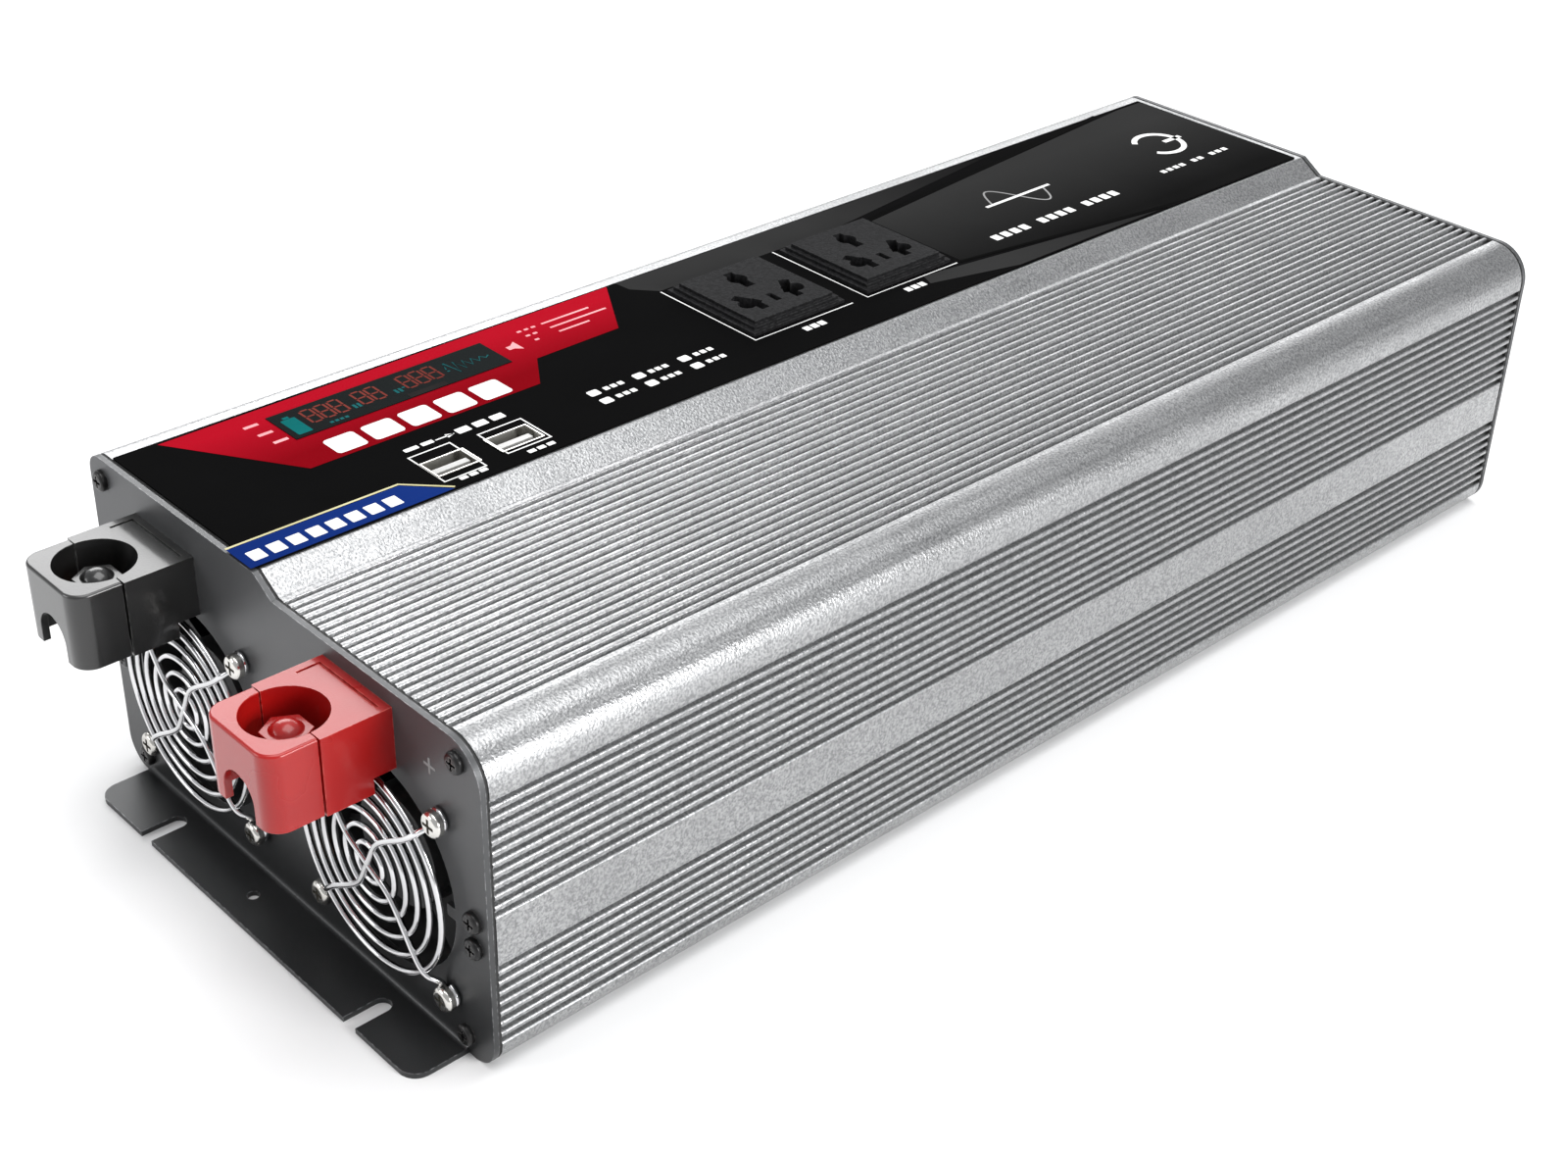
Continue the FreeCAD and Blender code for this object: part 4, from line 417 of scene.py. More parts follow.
BOARD_GREEN = Finish(
    "solder mask", (0.010, 0.11, 0.045), (0.008, 0.085, 0.035), 0.30, grain_bump=0.15,
    wander_scale=220.0)
DEVICE_BLACK = Finish(
    "epoxy moulding", (0.018, 0.018, 0.019), (0.028, 0.028, 0.029), 0.50, grain_bump=0.4)
FERRITE = Finish("ferrite", (0.035, 0.035, 0.037), (0.055, 0.054, 0.053), 0.55, grain_bump=0.6)
WINDING_TAPE = Finish("winding tape", (0.66, 0.46, 0.05), (0.58, 0.40, 0.04), 0.28, grain_bump=0.1)
CAN_SLEEVE = Finish(
    "can sleeve", (0.012, 0.018, 0.060), (0.018, 0.026, 0.080), 0.30, grain_bump=0.1)
FUSE_PLASTIC = Finish(
    "fuse plastic", (0.72, 0.42, 0.02), (0.64, 0.36, 0.02), 0.20, grain_bump=0.05)
SWITCH_RED = Finish(
    "switch red", (0.52, 0.012, 0.010), (0.46, 0.010, 0.008), 0.26, grain_bump=0.15,
    wear_colour=(0.6, 0.1, 0.09))
LEAD_RED = Finish("red lead", (0.42, 0.012, 0.010), (0.34, 0.010, 0.008), 0.42, grain_bump=0.1)
LEAD_BLACK = Finish("black lead", grey(0.018), grey(0.028), 0.45, grain_bump=0.1)


def ink(name: str, colour: Colour, second: Colour, roughness: float = 0.45,
        grain_bump: float = 0.1, **more) -> Finish:
    """A printed colour: the finish of the film, without a shine of its own."""
    return Finish(name, colour, second, roughness, grain_bump=grain_bump, specular=PRINT_SHINE,
                  **more)


WHITE_INK = ink("white ink", (0.80, 0.80, 0.79), (0.68, 0.68, 0.67))
GREY_INK = ink("grey ink", grey(0.30), grey(0.22))
PINK_INK = ink("faded white ink", (0.80, 0.38, 0.40), (0.70, 0.26, 0.28))
CREAM_INK = ink("cream ink", (0.60, 0.56, 0.34), (0.50, 0.46, 0.26))
RED_INK = ink(
    "red ink", (0.33, 0.0030, 0.012), (0.165, 0.0008, 0.004), 0.34, 0.08,
    fade=("X", -0.066, -0.044))
BLUE_INK = ink(
    "blue ink", (0.004, 0.018, 0.120), (0.006, 0.024, 0.145), 0.32, 0.08,
    fade=("Y", -0.200, -0.140))
BAND_INK = ink("grey band ink", grey(0.025), grey(0.004), 0.36, 0.08, fade=("Y", 0.030, 0.115))
PANEL_INK = ink("grey panel ink", grey(0.023), grey(0.004), 0.34, 0.08, fade=("X", -0.058, -0.012))
WEDGE_INK = ink("grey wedge ink", grey(0.026), grey(0.008), 0.36, 0.08, fade=("Y", 0.05, 0.17))
BLACK_INK = ink("black ink", grey(0.0015), grey(0.0025), 0.34, 0.05)
TEAL_LIGHT = ink(
    "teal segments", (0.004, 0.115, 0.112), (0.003, 0.075, 0.078), 0.30, 0.0, glow=SEGMENT_GLOW)
DIM_TEAL = ink(
    "dim teal segments", (0.012, 0.105, 0.110), (0.008, 0.070, 0.075), 0.30, 0.0,
    glow=SEGMENT_GLOW)
RED_LIGHT = ink(
    "red segments", (0.17, 0.036, 0.028), (0.12, 0.024, 0.019), 0.30, 0.0, glow=SEGMENT_GLOW)
DARK_LIGHT = ink("unlit segments", (0.020, 0.018, 0.018), (0.015, 0.014, 0.014), 0.30, 0.0)

SLOT_FINISH = {
    "anodised": ALUMINIUM, "plate_paint": PLATE_PAINT_AND_SHADE, "seal": SEAL, "black_steel": BLACK_STEEL,
    "label": LABEL_FILM, "window": SMOKED_WINDOW, "board": BOARD_GREEN,
    "socket_plastic": SOCKET_PLASTIC, "brass": BRASS, "bright_steel": BRIGHT_STEEL,
    "light_plastic": LIGHT_PLASTIC, "fan_plastic": FAN_PLASTIC, "chromed_wire": CHROMED_WIRE,
    "black_cover": BLACK_COVER, "red_cover": RED_COVER, "copper": COPPER,
    "heatsink": MILL_ALUMINIUM, "device_black": DEVICE_BLACK, "ferrite": FERRITE,
    "winding_tape": WINDING_TAPE, "can_sleeve": CAN_SLEEVE, "fuse_plastic": FUSE_PLASTIC,
    "switch_red": SWITCH_RED, "lead_red": LEAD_RED, "lead_black": LEAD_BLACK,
}


class PaintShop:
    """Keeps one material for each finish and puts it on pieces."""

    def __init__(self) -> None:
        """Starts with no material made."""
        self.made: dict[str, bpy.types.Material] = {}

    def material(self, finish: Finish) -> bpy.types.Material:
        """The material of a finish, built once."""
        if finish.name not in self.made:
            self.made[finish.name] = finish.build()
        return self.made[finish.name]

    def coat(self, piece: Object, finish: Finish) -> None:
        """Gives a whole piece one finish.

        Args:
            piece: The object.
            finish: Its finish.
        """
        piece.data.materials.clear()
        piece.data.materials.append(self.material(finish))
        for polygon in piece.data.polygons:
            polygon.material_index = 0


PAINT = PaintShop()


# ---- modelling steps ------------
class Bench:
    """Modelling steps that the pieces share."""

    @staticmethod
    def clear() -> None:
        """Leaves edit mode and deselects everything."""
        if bpy.context.mode != "OBJECT":
            bpy.ops.object.mode_set(mode="OBJECT")
        bpy.ops.object.select_all(action="DESELECT")

    @classmethod
    def hold(cls, piece: Object) -> None:
        """Selects one piece alone and makes it active."""
        cls.clear()
        piece.select_set(True)
        bpy.context.view_layer.objects.active = piece

    @classmethod
    def settle(cls, piece: Object) -> None:
        """Puts the piece's place into its mesh."""
        cls.hold(piece)
        bpy.ops.object.transform_apply(location=True, rotation=True, scale=True)

    @classmethod
    def take(cls, name: str) -> Object:
        """The primitive just added, named and settled."""
        piece = bpy.context.object
        piece.name = name
        piece.data.name = name
        cls.settle(piece)
        return piece

    @classmethod
    def block(cls, name: str, low: Place, high: Place) -> Object:
        """A rectangular block between two corners."""
        cls.clear()
        centre = [(a + b) / 2 for a, b in zip(low, high)]
        size = [b - a for a, b in zip(low, high)]
        bpy.ops.mesh.primitive_cube_add(size=1.0, location=centre, scale=size)
        return cls.take(name)

    @classmethod
    def ring(cls, name: str, centre: Place, radius: float, wire: float, turn: Place,
             around: int = 72, across: int = 10) -> Object:
        """A round wire ring."""
        cls.clear()
        bpy.ops.mesh.primitive_torus_add(major_radius=radius, minor_radius=wire,
                                         major_segments=around, minor_segments=across,
                                         location=centre, rotation=turn)
        return cls.take(name)

    @classmethod
    def wire(cls, name: str, points: Sequence[Place], radius: float, steps: int = 6,
             order: int = 4) -> Object:
        """A bent wire through control points, as a mesh."""
        cls.clear()
        curve = bpy.data.curves.new(name, "CURVE")
        curve.dimensions = "3D"
        curve.bevel_depth = radius
        curve.bevel_resolution = 3
        curve.resolution_u = steps
        curve.use_fill_caps = True
        spline = curve.splines.new("NURBS")
        spline.points.add(len(points) - 1)
        for point, place in zip(spline.points, points):
            point.co = (*place, 1.0)
        spline.order_u = order
        spline.use_endpoint_u = True
        return cls.as_mesh(name, curve)

    @classmethod
    def flat(cls, name: str, outlines: Iterable[Sequence[Point]], level: float,
             thickness: float) -> Object:
        """A thin flat shape from closed outlines; an outline inside another is a hole.

        Args:
            name: The piece's name.
            outlines: Corners in metres, X and Y.
            level: Height of its underside.
            thickness: Its thickness.

        Returns:
            The piece, as a mesh in place.
        """
        cls.clear()
        curve = bpy.data.curves.new(name, "CURVE")
        curve.dimensions = "2D"
        curve.fill_mode = "BOTH"
        curve.extrude = thickness / 2
        for outline in outlines:
            spline = curve.splines.new("POLY")
            spline.points.add(len(outline) - 1)
            for point, place in zip(spline.points, outline):
                point.co = (place[0], place[1], 0.0, 1.0)
            spline.use_cyclic_u = True
        piece = cls.as_mesh(name, curve)
        piece.location.z = level + thickness / 2
        cls.settle(piece)
        return piece

    @classmethod
    def as_mesh(cls, name: str, curve: bpy.types.Curve) -> Object:
        """A curve turned into a mesh object, welded."""
        piece = bpy.data.objects.new(name, curve)
        bpy.context.scene.collection.objects.link(piece)
        cls.hold(piece)
        bpy.ops.object.convert(target="MESH")
        piece = bpy.context.object
        cls.weld(piece)
        return piece

    @classmethod
    def weld(cls, piece: Object, gap: float = 1e-6) -> None:
        """Merges doubled points and turns faces outwards."""
        cls.hold(piece)
        bpy.ops.object.mode_set(mode="EDIT")
        bpy.ops.mesh.select_all(action="SELECT")
        bpy.ops.mesh.remove_doubles(threshold=gap)
        bpy.ops.mesh.normals_make_consistent(inside=False)
        bpy.ops.object.mode_set(mode="OBJECT")

    @classmethod
    def join(cls, name: str, pieces: Sequence[Object]) -> Object:
        """Several pieces made one."""
        cls.clear()
        for piece in pieces:
            piece.select_set(True)
        bpy.context.view_layer.objects.active = pieces[0]
        if len(pieces) > 1:
            bpy.ops.object.join()
        joined = bpy.context.object
        joined.name = name
        joined.data.name = name
        return joined

    @classmethod
    def from_cad(cls, name: str, node: str, gap: float = 2e-6, bend: float = 0.6) -> Object:
        """A copy of a CAD node's mesh, with its flat faces whole again.

        Args:
            name: The copy's name.
            node: The CAD node.
            gap: Points nearer than this are made one, in metres.
            bend: Faces that differ by less than this are made one, in degrees.

        Returns:
            The copy, at the origin.
        """
        piece = bpy.data.objects.new(name, frame["nodes"][node].data.copy())
        bpy.context.scene.collection.objects.link(piece)
        cls.hold(piece)
        bpy.ops.object.mode_set(mode="EDIT")
        bpy.ops.mesh.select_all(action="SELECT")
        bpy.ops.mesh.remove_doubles(threshold=gap)
        bpy.ops.mesh.dissolve_limited(angle_limit=math.radians(bend))
        bpy.ops.object.mode_set(mode="OBJECT")
        return piece

    @classmethod
    def soften(cls, piece: Object, width: float, angle: float = 32.0, segments: int = 2) -> None:
        """Rounds the sharp edges of a piece."""
        cls.hold(piece)
        bevel = piece.modifiers.new("edge", "BEVEL")
        bevel.width = width
        bevel.segments = segments
        bevel.limit_method = "ANGLE"
        bevel.angle_limit = math.radians(angle)
        bevel.miter_outer = "MITER_ARC"
        bpy.ops.object.modifier_apply(modifier=bevel.name)

    @classmethod
    def smooth(cls, piece: Object, angle: float = 35.0, evenness: int = 80) -> None:
        """Shades a piece smooth, with creases above an angle and its large faces even."""
        cls.hold(piece)
        bpy.ops.object.shade_smooth_by_angle(angle=math.radians(angle))
        weighted = piece.modifiers.new("even faces", "WEIGHTED_NORMAL")
        weighted.keep_sharp = True
        weighted.weight = evenness
        bpy.ops.object.modifier_apply(modifier=weighted.name)


def install(piece: Object, finish: Finish, slot: str, body: str = ROOT_BODY,
            stands_for: Sequence[str] = ()) -> Object:
    """Dresses a finished piece and puts it on its body.

    Args:
        piece: The object, at the origin with its place in its mesh.
        finish: Its finish.
        slot: The record's material slot; not used.
        body: The CAD body that it moves with.
        stands_for: CAD nodes that it replaces.

    Returns:
        The piece.
    """
    PAINT.coat(piece, finish)
    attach(piece, body)
    if stands_for:
        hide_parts(*stands_for)
    LOG.info("%s: %d faces on %s", piece.name, len(piece.data.polygons), body)
    return piece


# ---- guards, terminals and mouldings ------------
@dataclass
class FanGuard:
    """Chromed wire guard in front of one fan."""

    number: int
    wire: float = 0.8 * MM
    rings: tuple[float, ...] = (5.2 * MM, 9.7 * MM, 14.2 * MM, 18.7 * MM, 23.2 * MM, 27.6 * MM)
    hole_reach: float = 25.0 * math.sqrt(2) * MM
    ear: float = 2.6 * MM
    kink: float = 2.6 * MM
    kink_reach: float = 7.0 * MM
    bend: tuple[Point, ...] = ((0.3, 0.2), (1.0, 1.0), (1.6, 1.0), (2.4, 0.6))
    straight: tuple[float, ...] = (0.85, 1.06)   # in radii of the largest ring
    drop: float = 1.13
    drop_gap: float = 0.6 * MM
    ear_start: float = 200.0
    ear_step: float = 42.0
    ear_points: int = 8
    ear_offset: float = 0.4 * MM

    def build(self) -> Object:
        """Builds the guard and installs it."""
        node = f"fan_guard_{self.number}"
        low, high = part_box(node)
        centre = (low + high) / 2
        ring_y = low.y + self.wire
        foot_y = high.y - self.wire
        upright = (math.pi / 2, 0, 0)
        parts = [Bench.ring("ring", (centre.x, ring_y, centre.z), radius, self.wire, upright)
                 for radius in self.rings]
        for turn in (math.radians(45), math.radians(135)):
            parts.append(self.spoke(centre, turn, ring_y, foot_y))
        guard = Bench.join(f"fan_{self.number}_guard", parts)
        Bench.smooth(guard, 60)
        return install(guard, CHROMED_WIRE, "chromed_wire", stands_for=[node])

    def spoke(self, centre: Vector, turn: float, ring_y: float, foot_y: float) -> Object:
        """One wire from ear to ear, with its bend at the middle."""
        along = Vector((math.cos(turn), 0, math.sin(turn)))
        aside = Vector((-math.sin(turn), 0, math.cos(turn)))
        front_y = ring_y - self.wire * 0.9
        half: list[Place] = [(self.kink_reach * reach, self.kink * offset, front_y)
                             for reach, offset in self.bend]
        half += [(self.rings[-1] * reach, 0.0, front_y) for reach in self.straight]
        half.append((self.rings[-1] * self.drop, 0.0, foot_y - self.drop_gap))
        for step in range(self.ear_points):
            angle = math.radians(self.ear_start) + math.radians(self.ear_step) * step
            half.append((self.hole_reach + self.ear * math.cos(angle),
                         self.ear * math.sin(angle) + self.ear_offset, foot_y))
        points = []
        for side, run in ((-1, reversed(half)), (1, half)):
            for reach, offset, y in run:
                place = centre + along * (side * reach) + aside * (side * offset)
                points.append((place.x, y, place.z))
        return Bench.wire("spoke", points, self.wire)


@dataclass
class TerminalCover:
    """Moulded parts of one battery terminal: fixed base, sliding cap and nut."""

    side: str
    finish: Finish
    slot: str
    edge: float = 0.35 * MM
    nut_edge: float = 0.25 * MM

    def build(self) -> None:
        """Builds the base, the cap and the nut, with rounded moulding edges."""
        bodies = {"terminal_base": ROOT_BODY, "terminal_cap": f"{self.side}_cap",
                  "nut": f"{self.side}_nut"}
        for part, body in bodies.items():
            node = f"{self.side}_{part}"
            piece = Bench.from_cad(f"{self.side}_{part}_moulding", node)
            Bench.soften(piece, self.nut_edge if part == "nut" else self.edge)
            Bench.smooth(piece)
            install(piece, self.finish, self.slot, body, [node])


@dataclass(frozen=True)
class Moulding:
    """A CAD piece copied so that its edges can be rounded."""

    node: str
    finish: Finish
    slot: str
    edge: float
    body: str = ROOT_BODY

    def build(self) -> Object:
        """Copies the piece, rounds its edges and installs it."""
        piece = Bench.from_cad(f"{self.node}_rounded", self.node)
        Bench.soften(piece, self.edge)
        Bench.smooth(piece)
        return install(piece, self.finish, self.slot, self.body, [self.node])


SOCKET_EDGE = 0.25 * MM
SHELL_EDGE = 0.12 * MM
SWITCH_EDGE = 0.3 * MM
JACK_EDGE = 0.2 * MM
MOULDINGS = (
    Moulding("ac_socket_1", SOCKET_PLASTIC, "socket_plastic", SOCKET_EDGE),
    Moulding("ac_socket_2", SOCKET_PLASTIC, "socket_plastic", SOCKET_EDGE),
    Moulding("usb_shell_1", BRIGHT_STEEL, "bright_steel", SHELL_EDGE),
    Moulding("usb_shell_2", BRIGHT_STEEL, "bright_steel", SHELL_EDGE),
    Moulding("switch_body", FAN_PLASTIC, "fan_plastic", SWITCH_EDGE),
    Moulding("switch_rocker", SWITCH_RED, "switch_red", SWITCH_EDGE, "rocker"),
    Moulding("remote_jack", FAN_PLASTIC, "fan_plastic", JACK_EDGE),
)


@dataclass
class PolarityMarks:
    """Printed plus and minus beside the battery terminals."""

    arm: float = 2.1 * MM
    line: float = 0.7 * MM
    ink: float = 0.03 * MM
    level: float = 77.0 * MM
    across: float = 62.5 * MM
    edge: float = 0.008 * MM

    def build(self) -> None:
        """Prints the plus on one side and the minus on the other."""
        for name, x, upright in (("plus", self.across, True), ("minus", -self.across, False)):
            bars = [(self.arm, self.line / 2)]
            if upright:
                bars.append((self.line / 2, self.arm))
            parts = [Bench.block(f"{name}_bar",
                                 (x - half_x, PLATE_Y - self.ink * (i + 1), self.level - half_z),
                                 (x + half_x, PLATE_Y + self.ink, self.level + half_z))
                     for i, (half_x, half_z) in enumerate(bars)]
            mark = Bench.join(f"{name}_mark", parts)
            Bench.soften(mark, self.edge)
            install(mark, GREY_INK, "plate_paint")


# ---- label ------------
class Layer(Enum):
    """Height of each printed layer above the film."""

    GROUND = 0.00002
    FIELD = 0.00005
    INK = 0.00008
    TOP = 0.00011


def label_point(across: float, along: float) -> Point:
    """A place on the label in metres, from millimetres across and from the fan end."""
    return across * MM, FRONT_Y + along * MM


CORNER_STEPS = 5                # points on each rounded corner


def rectangle(x0: float, y0: float, x1: float, y1: float, corner: float = 0.0) -> Outline:
    """Corners of a rectangle on the label, its corners cut or rounded.

    Args:
        x0: Left side, in millimetres.
        y0: Near side.
        x1: Right side.
        y1: Far side.
        corner: Radius of its corners.

    Returns:
        The outline in metres.
    """
    if corner <= 0:
        return [label_point(*p) for p in ((x0, y0), (x1, y0), (x1, y1), (x0, y1))]
    outline = []
    for cx, cy, start in ((x1 - corner, y0 + corner, 270), (x1 - corner, y1 - corner, 0),
                          (x0 + corner, y1 - corner, 90), (x0 + corner, y0 + corner, 180)):
        for step in range(CORNER_STEPS):
            angle = math.radians(start + 90.0 / (CORNER_STEPS - 1) * step)
            outline.append(label_point(cx + corner * math.cos(angle),
                                       cy + corner * math.sin(angle)))
    return outline


def stroke(points: Sequence[Point], width: float) -> Outline:
    """Outline of a line of even width through points on the label, in millimetres."""
    left, right = [], []
    for i, (x, y) in enumerate(points):
        before = points[max(i - 1, 0)]
        after = points[min(i + 1, len(points) - 1)]
        run = Vector((after[0] - before[0], after[1] - before[1])).normalized()
        off = Vector((-run.y, run.x)) * width / 2
        left.append(label_point(x + off.x, y + off.y))
        right.append(label_point(x - off.x, y - off.y))
    return left + right[::-1]


def polygon(*corners: Point) -> Outline:
    """Corners on the label in metres."""
    return [label_point(*corner) for corner in corners]


def row(left: float, right: float, first: float, length: float, pitch: float, count: int,
        corner: float = 0.2, gaps: Sequence[int] = ()) -> list[Outline]:
    """Equal blocks one after another along the label.

    Args:
        left: Left side of the blocks, in millimetres.
        right: Right side.
        first: Near side of the first block.
        length: Length of each block.
        pitch: From one block to the next.
        count: Number of places in the row.
        corner: Radius of the blocks' corners.
        gaps: Places that stay empty.

    Returns:
        One outline for each block, in metres.
    """
    return [rectangle(left, first + pitch * i, right, first + length + pitch * i, corner)
            for i in range(count) if i not in gaps]


@dataclass
class LabelArtwork:
    """Printed fields, frames and marks on the label film, with no lettering."""

    thickness: float = 0.03 * MM
    frame_line: float = 0.45
    bold_line: float = 1.9
    ring_radius: float = 8.2
    ring_centre: Point = (-42.0, 369.5)
    wave_height: float = 8.3
    wave_length: float = 23.0
    wave_start: Point = (-42.2, 288.6)
    wave_steps: int = 40

    def build(self) -> None:
        """Prints every field and mark."""
        red = polygon((-71.2, 14.0), (-36.6, 36.3), (-36.4, 107.2), (-48.6, 115.6),
                      (-49.0, 144.2), (-71.9, 158.5))
        blue = polygon((-16.4, 0.2), (-5.8, 0.2), (-5.8, 57.4), (-15.6, 47.8))
        cream = stroke(((-16.9, 0.2), (-16.2, 48.0), (-6.4, 57.9)), 0.7)
        self.print("label_red_field", [red], Layer.FIELD, RED_INK)
        self.print("label_blue_field", [blue], Layer.INK, BLUE_INK)
        self.print("label_cream_edge", [cream], Layer.TOP, CREAM_INK)
        self.grounds()
        self.white_marks()
        self.faint_marks()

    def print(self, name: str, outlines: Iterable[Sequence[Point]], layer: Layer,
              finish: Finish) -> Object:
        """Prints one field or set of marks.

        Args:
            name: The piece's name.
            outlines: Closed outlines in metres.
            layer: Which layer it lies in.
            finish: Its ink.

        Returns:
            The piece.
        """
        parts = [Bench.flat(name, [outline] if not isinstance(outline[0][0], tuple) else outline,
                            LABEL_TOP + layer.value, self.thickness) for outline in outlines]
        return install(Bench.join(name, parts), finish, "label")

    def grounds(self) -> None:
        """Prints the grey gradient grounds of the far half."""
        band = polygon((-72.3, 162.0), (-66.5, 162.5), (-60.0, 168.5), (-59.5, 233.0),
                       (-72.3, 330.0))
        panel = polygon((-57.5, 250.5), (-19.2, 250.5), (-6.2, 340.0), (-6.2, 394.6),
                        (-71.0, 394.6), (-71.0, 382.0))
        wedge = polygon((-19.0, 234.0), (-14.0, 232.0), (-6.2, 262.0), (-6.2, 326.0))
        lines = [stroke(((-56.5, 236.0), (-71.8, 372.0)), 2.2),
                 stroke(((-19.4, 248.0), (-6.6, 330.0)), 1.3)]
        self.print("label_side_band", [band], Layer.GROUND, BAND_INK)
        self.print("label_centre_panel", [panel], Layer.GROUND, PANEL_INK)
        self.print("label_edge_wedge", [wedge], Layer.FIELD, WEDGE_INK)
        self.print("label_dark_lines", lines, Layer.FIELD, BLACK_INK)

    def white_marks(self) -> None:
        """Prints the bright marks: frames, squares, bars, level blocks and symbols."""
        frames = [stroke(((-59.3, near), (-19.0, near), (-19.0, far)), self.frame_line)
                  for near, far in ((168.2, 205.4), (211.4, 248.4))]
        blocks = [rectangle(-46.4, 45.8 + 11.2 * i, -38.2 + 0.15 * i, 54.8 + 11.2 * i, 1.2)
                  for i in range(5)]
        self.print("label_level_blocks", blocks, Layer.INK, WHITE_INK)
        self.print("label_socket_frames", frames, Layer.INK, WHITE_INK)
        self.print("label_check_marks", self.check_marks(), Layer.INK, WHITE_INK)
        self.print("label_bars", self.bars(), Layer.TOP, WHITE_INK)
        self.print("label_usb_frames", [self.frame_outline(-25.6, 57.2, -9.7, 70.2),
                                        self.frame_outline(-24.4, 77.6, -11.2, 91.6)],
                   Layer.INK, WHITE_INK)
        self.print("label_symbols", self.symbols(), Layer.INK, WHITE_INK)

    @staticmethod
    def check_marks() -> list[Outline]:
        """Two rows of squares, each with three dashes after it."""
        marks = []
        for middle in (-23.1, -17.7):
            for near in (114.6, 130.0, 145.9):
                marks.append(rectangle(middle - 1.5, near - 1.7, middle + 1.5, near + 1.7, 0.6))
                marks += row(middle - 0.9, middle + 0.9, near + 3.4, 1.7, 2.4, 3)
        return marks

    @staticmethod
    def bars() -> list[Outline]:
        """The short bars that stand where captions would be."""
        bars = row(-30.1, -27.4, 74.6, 4.0, 5.4, 3, 0.3)
        bars += [rectangle(-29.6, near, -28.0, far, 0.3)
                 for near, far in ((58.6, 62.8), (63.8, 67.4))]
        bars += [stroke(((-28.6, 68.0), (-28.6, 73.4)), 0.5),
                 polygon((-29.6, 71.4), (-27.6, 71.4), (-28.6, 73.9))]
        bars += row(-12.4, -8.0, 2.6, 3.8, 5.4, 8, 0.3)
        for near in (183.0, 223.0):
            bars += row(-16.4, -14.0, near, 2.2, 2.8, 3)
        bars += row(-25.7, -22.3, 269.5, 2.9, 4.15, 14, 0.3, gaps=(4, 9))
        bars += row(-26.3, -24.3, 350.5, 2.1, 3.1, 11, gaps=(4, 7))
        for near in (61.0, 82.0):
            bars += row(-9.4, -7.9, near, 2.3, 3.0, 3)
        return bars

    def frame_outline(self, x0: float, y0: float, x1: float, y1: float) -> list[Outline]:
        """A rectangular line frame, as an outer and an inner outline."""
        line = self.frame_line
        return [rectangle(x0, y0, x1, y1), rectangle(x0 + line, y0 + line, x1 - line, y1 - line)]

    def symbols(self) -> list[Outline]:
        """The straight line of the wave symbol and a broken ring with a bar."""
        x, y = self.ring_centre
        line = stroke(((-41.8, 285.5), (-42.0, 314.7)), 1.2)
        arc = [(x + self.ring_radius * math.cos(math.radians(turn)),
                y + self.ring_radius * math.sin(math.radians(turn)))
               for turn in range(-55, 236, 10)]
        bar = stroke(((x, 372.0), (x, 380.2)), self.bold_line)
        return [line, stroke(arc, self.bold_line), bar]

    def faint_marks(self) -> None:
        """Prints the dim marks: the wave and the small rows on the red field."""
        x, y = self.wave_start
        wave = [(x - self.wave_height * math.sin(FULL_TURN * i / self.wave_steps),
                 y + self.wave_length * i / self.wave_steps) for i in range(self.wave_steps + 1)]
        self.print("label_wave", [stroke(wave, 0.6)], Layer.FIELD, GREY_INK)
        rows = []
        for x, start, dots, stop in ((-64.6, 121.0, 3, 146.0), (-61.2, 121.5, 2, 149.5),
                                     (-57.8, 122.0, 1, 141.0)):
            rows += row(x - 0.45, x + 0.45, start, 1.4, 2.4, dots)
            rows.append(stroke(((x, start + 8.4), (x, stop)), 0.75))
        rows.append(polygon((-59.2, 113.0), (-57.2, 113.0), (-57.2, 114.6), (-55.6, 116.6),
                            (-60.8, 116.6), (-59.2, 114.6)))
        rows += [rectangle(x - 0.6, y, x + 0.6, y + 4.2, 0.2)
                 for x, y in ((-64.6, 34.6), (-59.0, 35.4), (-53.4, 36.4))]
        self.print("label_faint_rows", rows, Layer.INK, PINK_INK)


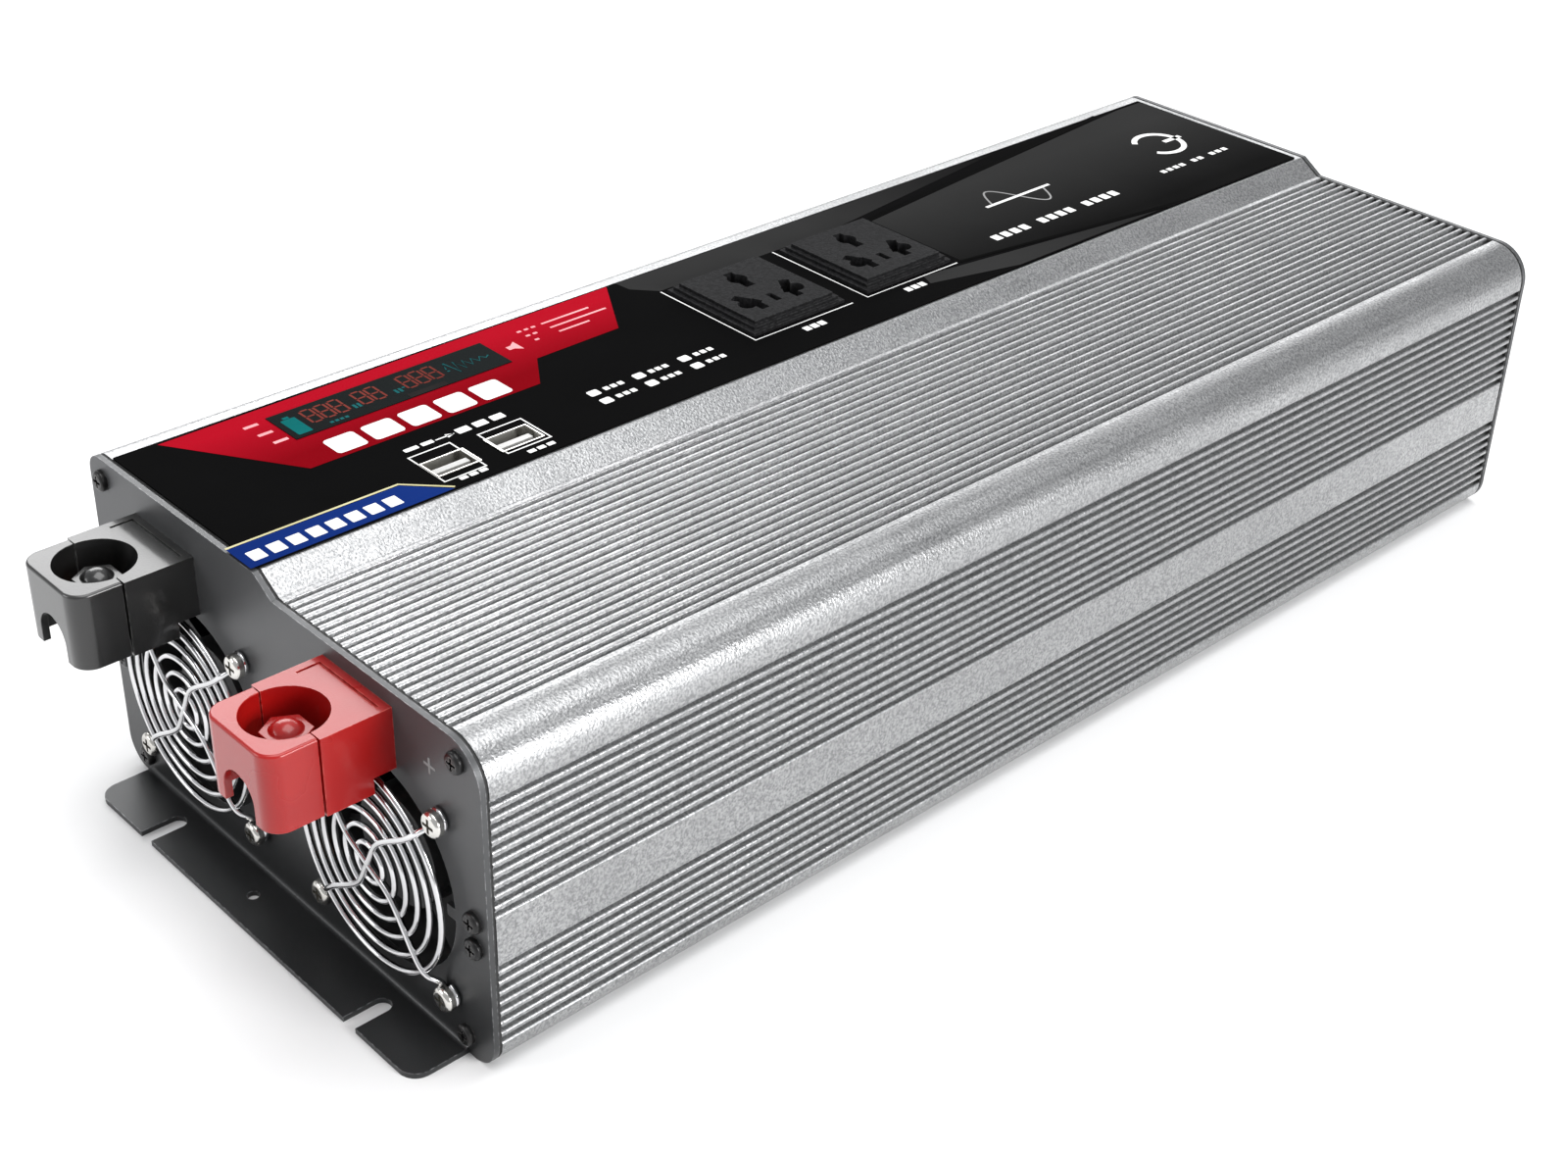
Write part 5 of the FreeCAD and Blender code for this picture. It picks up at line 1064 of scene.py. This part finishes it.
@dataclass
class DisplayFace:
    """Lit segments behind the display window."""

    thickness: float = 0.03 * MM
    digit_height: float = 7.2
    digit_width: float = 3.0
    pitch: float = 4.1
    bar: float = 0.62
    gap: float = 0.18
    middle: float = -59.4
    lift: float = 0.01 * MM
    trace_start: Point = (-58.4, 92.8)
    trace_height: float = 3.6
    trace_step: float = 1.25

    def build(self) -> None:
        """Prints the segments on the window's face."""
        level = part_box("display_window")[1].z + self.lift
        digits = []
        for first, count in ((49.8, 3), (65.2, 2), (79.2, 3)):
            for i in range(count):
                digits += self.digit(first + self.pitch * i)
        self.print("display_digits", digits, level, RED_LIGHT)
        self.print("display_battery", [rectangle(-61.6, 43.4, -52.6, 47.6, 0.4),
                                       rectangle(-62.9, 44.6, -61.8, 46.4)], level, TEAL_LIGHT)
        self.print("display_marks", self.units() + [stroke(self.trace(), 0.45)], level,
                   DIM_TEAL)
        self.print("display_shade", [rectangle(-53.4, 76.6, -51.2, 88.6)], level, DARK_LIGHT)

    def print(self, name: str, outlines: Sequence[Sequence[Point]], level: float,
              finish: Finish) -> None:
        """Prints one set of segments."""
        parts = [Bench.flat(name, [outline], level, self.thickness) for outline in outlines]
        install(Bench.join(name, parts), finish, "window")

    def digit(self, near: float) -> list[Outline]:
        """The seven bars of a digit with all of them lit."""
        half = self.digit_height / 2
        far = near + self.digit_width
        thick = self.bar / 2
        bars = [rectangle(self.middle + edge - thick, near + thick + self.gap,
                          self.middle + edge + thick, far - thick - self.gap)
                for edge in (-half, 0.0, half)]
        for y in (near, far):
            for start in (-half, 0.0):
                bars.append(rectangle(self.middle + start + self.gap, y - thick,
                                      self.middle + start + half - self.gap, y + thick))
        return bars

    @staticmethod
    def units() -> list[Outline]:
        """Small blocks where the units and the captions stand."""
        return [rectangle(left, near, right, near + length)
                for left, right, length, places in (
                    (-57.6, -55.4, 0.8, (62.3, 63.6, 75.2, 76.5)),
                    (-57.6, -57.0, 0.8, (77.8, 92.4)),
                    (-53.6, -52.6, 1.0, (53.0, 54.5, 56.0, 57.5)))
                for near in places]

    def trace(self) -> list[Point]:
        """The small wave at the far end, shrinking as it goes."""
        swings = (0.0, -1.0, 1.0, -0.75, 0.7, -0.5, 0.55, -0.35, 0.4, -0.2, 0.25, 0.0)
        x, y = self.trace_start
        return [(x + self.trace_height * swing, y + self.trace_step * i)
                for i, swing in enumerate(swings)]


# ---- scene ------------
@dataclass(frozen=True)
class ViewPoint:
    """Where the camera stands and how it is turned."""

    place: Place = (0.40531, -0.42397, 0.37823)
    azimuth: float = 46.296
    elevation: float = 31.899
    roll: float = 1.684
    lens: float = 53.55
    sensor: float = 36.0
    near: float = 0.01
    far: float = 50.0

    def build(self) -> Object:
        """Makes the camera and looks through it."""
        a, e, r = (math.radians(v) for v in (self.azimuth, self.elevation, self.roll))
        back = Vector((math.sin(a) * math.cos(e), -math.cos(a) * math.cos(e), math.sin(e)))
        right = Vector((math.cos(a), math.sin(a), 0.0))
        up = back.cross(right)
        across = right * math.cos(r) + up * math.sin(r)
        upward = up * math.cos(r) - right * math.sin(r)
        data = bpy.data.cameras.new("camera")
        data.sensor_width = self.sensor
        data.lens = self.lens
        data.clip_start = self.near
        data.clip_end = self.far
        camera = bpy.data.objects.new("camera", data)
        turn = Matrix((across, upward, back)).transposed().to_4x4()
        camera.matrix_world = Matrix.Translation(self.place) @ turn
        bpy.context.scene.collection.objects.link(camera)
        bpy.context.scene.camera = camera
        return camera


@dataclass(frozen=True)
class SoftLight:
    """One rectangular studio light aimed at the object."""

    name: str
    place: Place
    width: float
    height: float
    power: float
    aim: Place = (0.0, 0.0, 0.05)

    def build(self) -> None:
        """Hangs the light."""
        data = bpy.data.lights.new(self.name, "AREA")
        data.shape = "RECTANGLE"
        data.size = self.width
        data.size_y = self.height
        data.energy = self.power
        lamp = bpy.data.objects.new(self.name, data)
        toward = Vector(self.aim) - Vector(self.place)
        lamp.matrix_world = (Matrix.Translation(self.place)
                             @ toward.to_track_quat("-Z", "Y").to_matrix().to_4x4())
        bpy.context.scene.collection.objects.link(lamp)


@dataclass
class Studio:
    """Pale floor, soft lights and the camera."""

    floor_size: float = 12.0
    floor_finish: Finish = Finish("pale floor", grey(0.86), grey(0.84), 0.6,
                                  wander_scale=2.0)
    room_colour: Colour = (0.94, 0.95, 0.97)
    room_strength: float = 0.55
    lights: tuple[SoftLight, ...] = (
        SoftLight("left softbox", (-1.6, 0.55, 1.1), 1.4, 0.9, 18.0),
        SoftLight("far softbox", (-1.0, 1.6, 0.85), 0.9, 0.6, 5.0),
        SoftLight("overhead softbox", (0.2, 0.1, 1.9), 1.5, 1.5, 27.0),
        SoftLight("side softbox", (1.9, 0.3, 0.7), 0.9, 0.6, 34.0),
        SoftLight("front softbox", (-0.9, -1.7, 0.8), 0.9, 0.7, 10.0),
    )

    def build(self) -> None:
        """Sets the room up round the object."""
        Bench.clear()
        bpy.ops.mesh.primitive_plane_add(size=self.floor_size, location=(0, 0, CAD_BOX[0].z))
        floor = Bench.take("floor")
        PAINT.coat(floor, self.floor_finish)
        world = bpy.data.worlds.new("room")
        world.use_nodes = True
        background = world.node_tree.nodes["Background"]
        background.inputs[0].default_value = (*self.room_colour, 1.0)
        background.inputs[1].default_value = self.room_strength
        bpy.context.scene.world = world
        bpy.context.scene.view_settings.view_transform = "Standard"
        for light in self.lights:
            light.build()
        ViewPoint().build()


class CarriedOver:
    """CAD nodes whose shape stays, with a better finish."""

    def build(self) -> None:
        """Gives each shown CAD node the finish of its slot."""
        for part in frame["record"]["subparts"]:
            PAINT.coat(frame["nodes"][part["node"]], SLOT_FINISH[part["material_slot"]])
            LOG.info("%s keeps its CAD shape in %s", part["node"], part["material_slot"])


def main() -> None:
    """Builds the studio and every piece, in order."""
    logging.basicConfig(level=logging.INFO, format="%(name)s: %(message)s")
    Studio().build()
    CarriedOver().build()
    FanGuard(1).build()
    FanGuard(2).build()
    TerminalCover("negative", BLACK_COVER, "black_cover").build()
    TerminalCover("positive", RED_COVER, "red_cover").build()
    for moulding in MOULDINGS:
        moulding.build()
    PolarityMarks().build()
    LabelArtwork().build()
    DisplayFace().build()


if __name__ == "__main__":
    main()
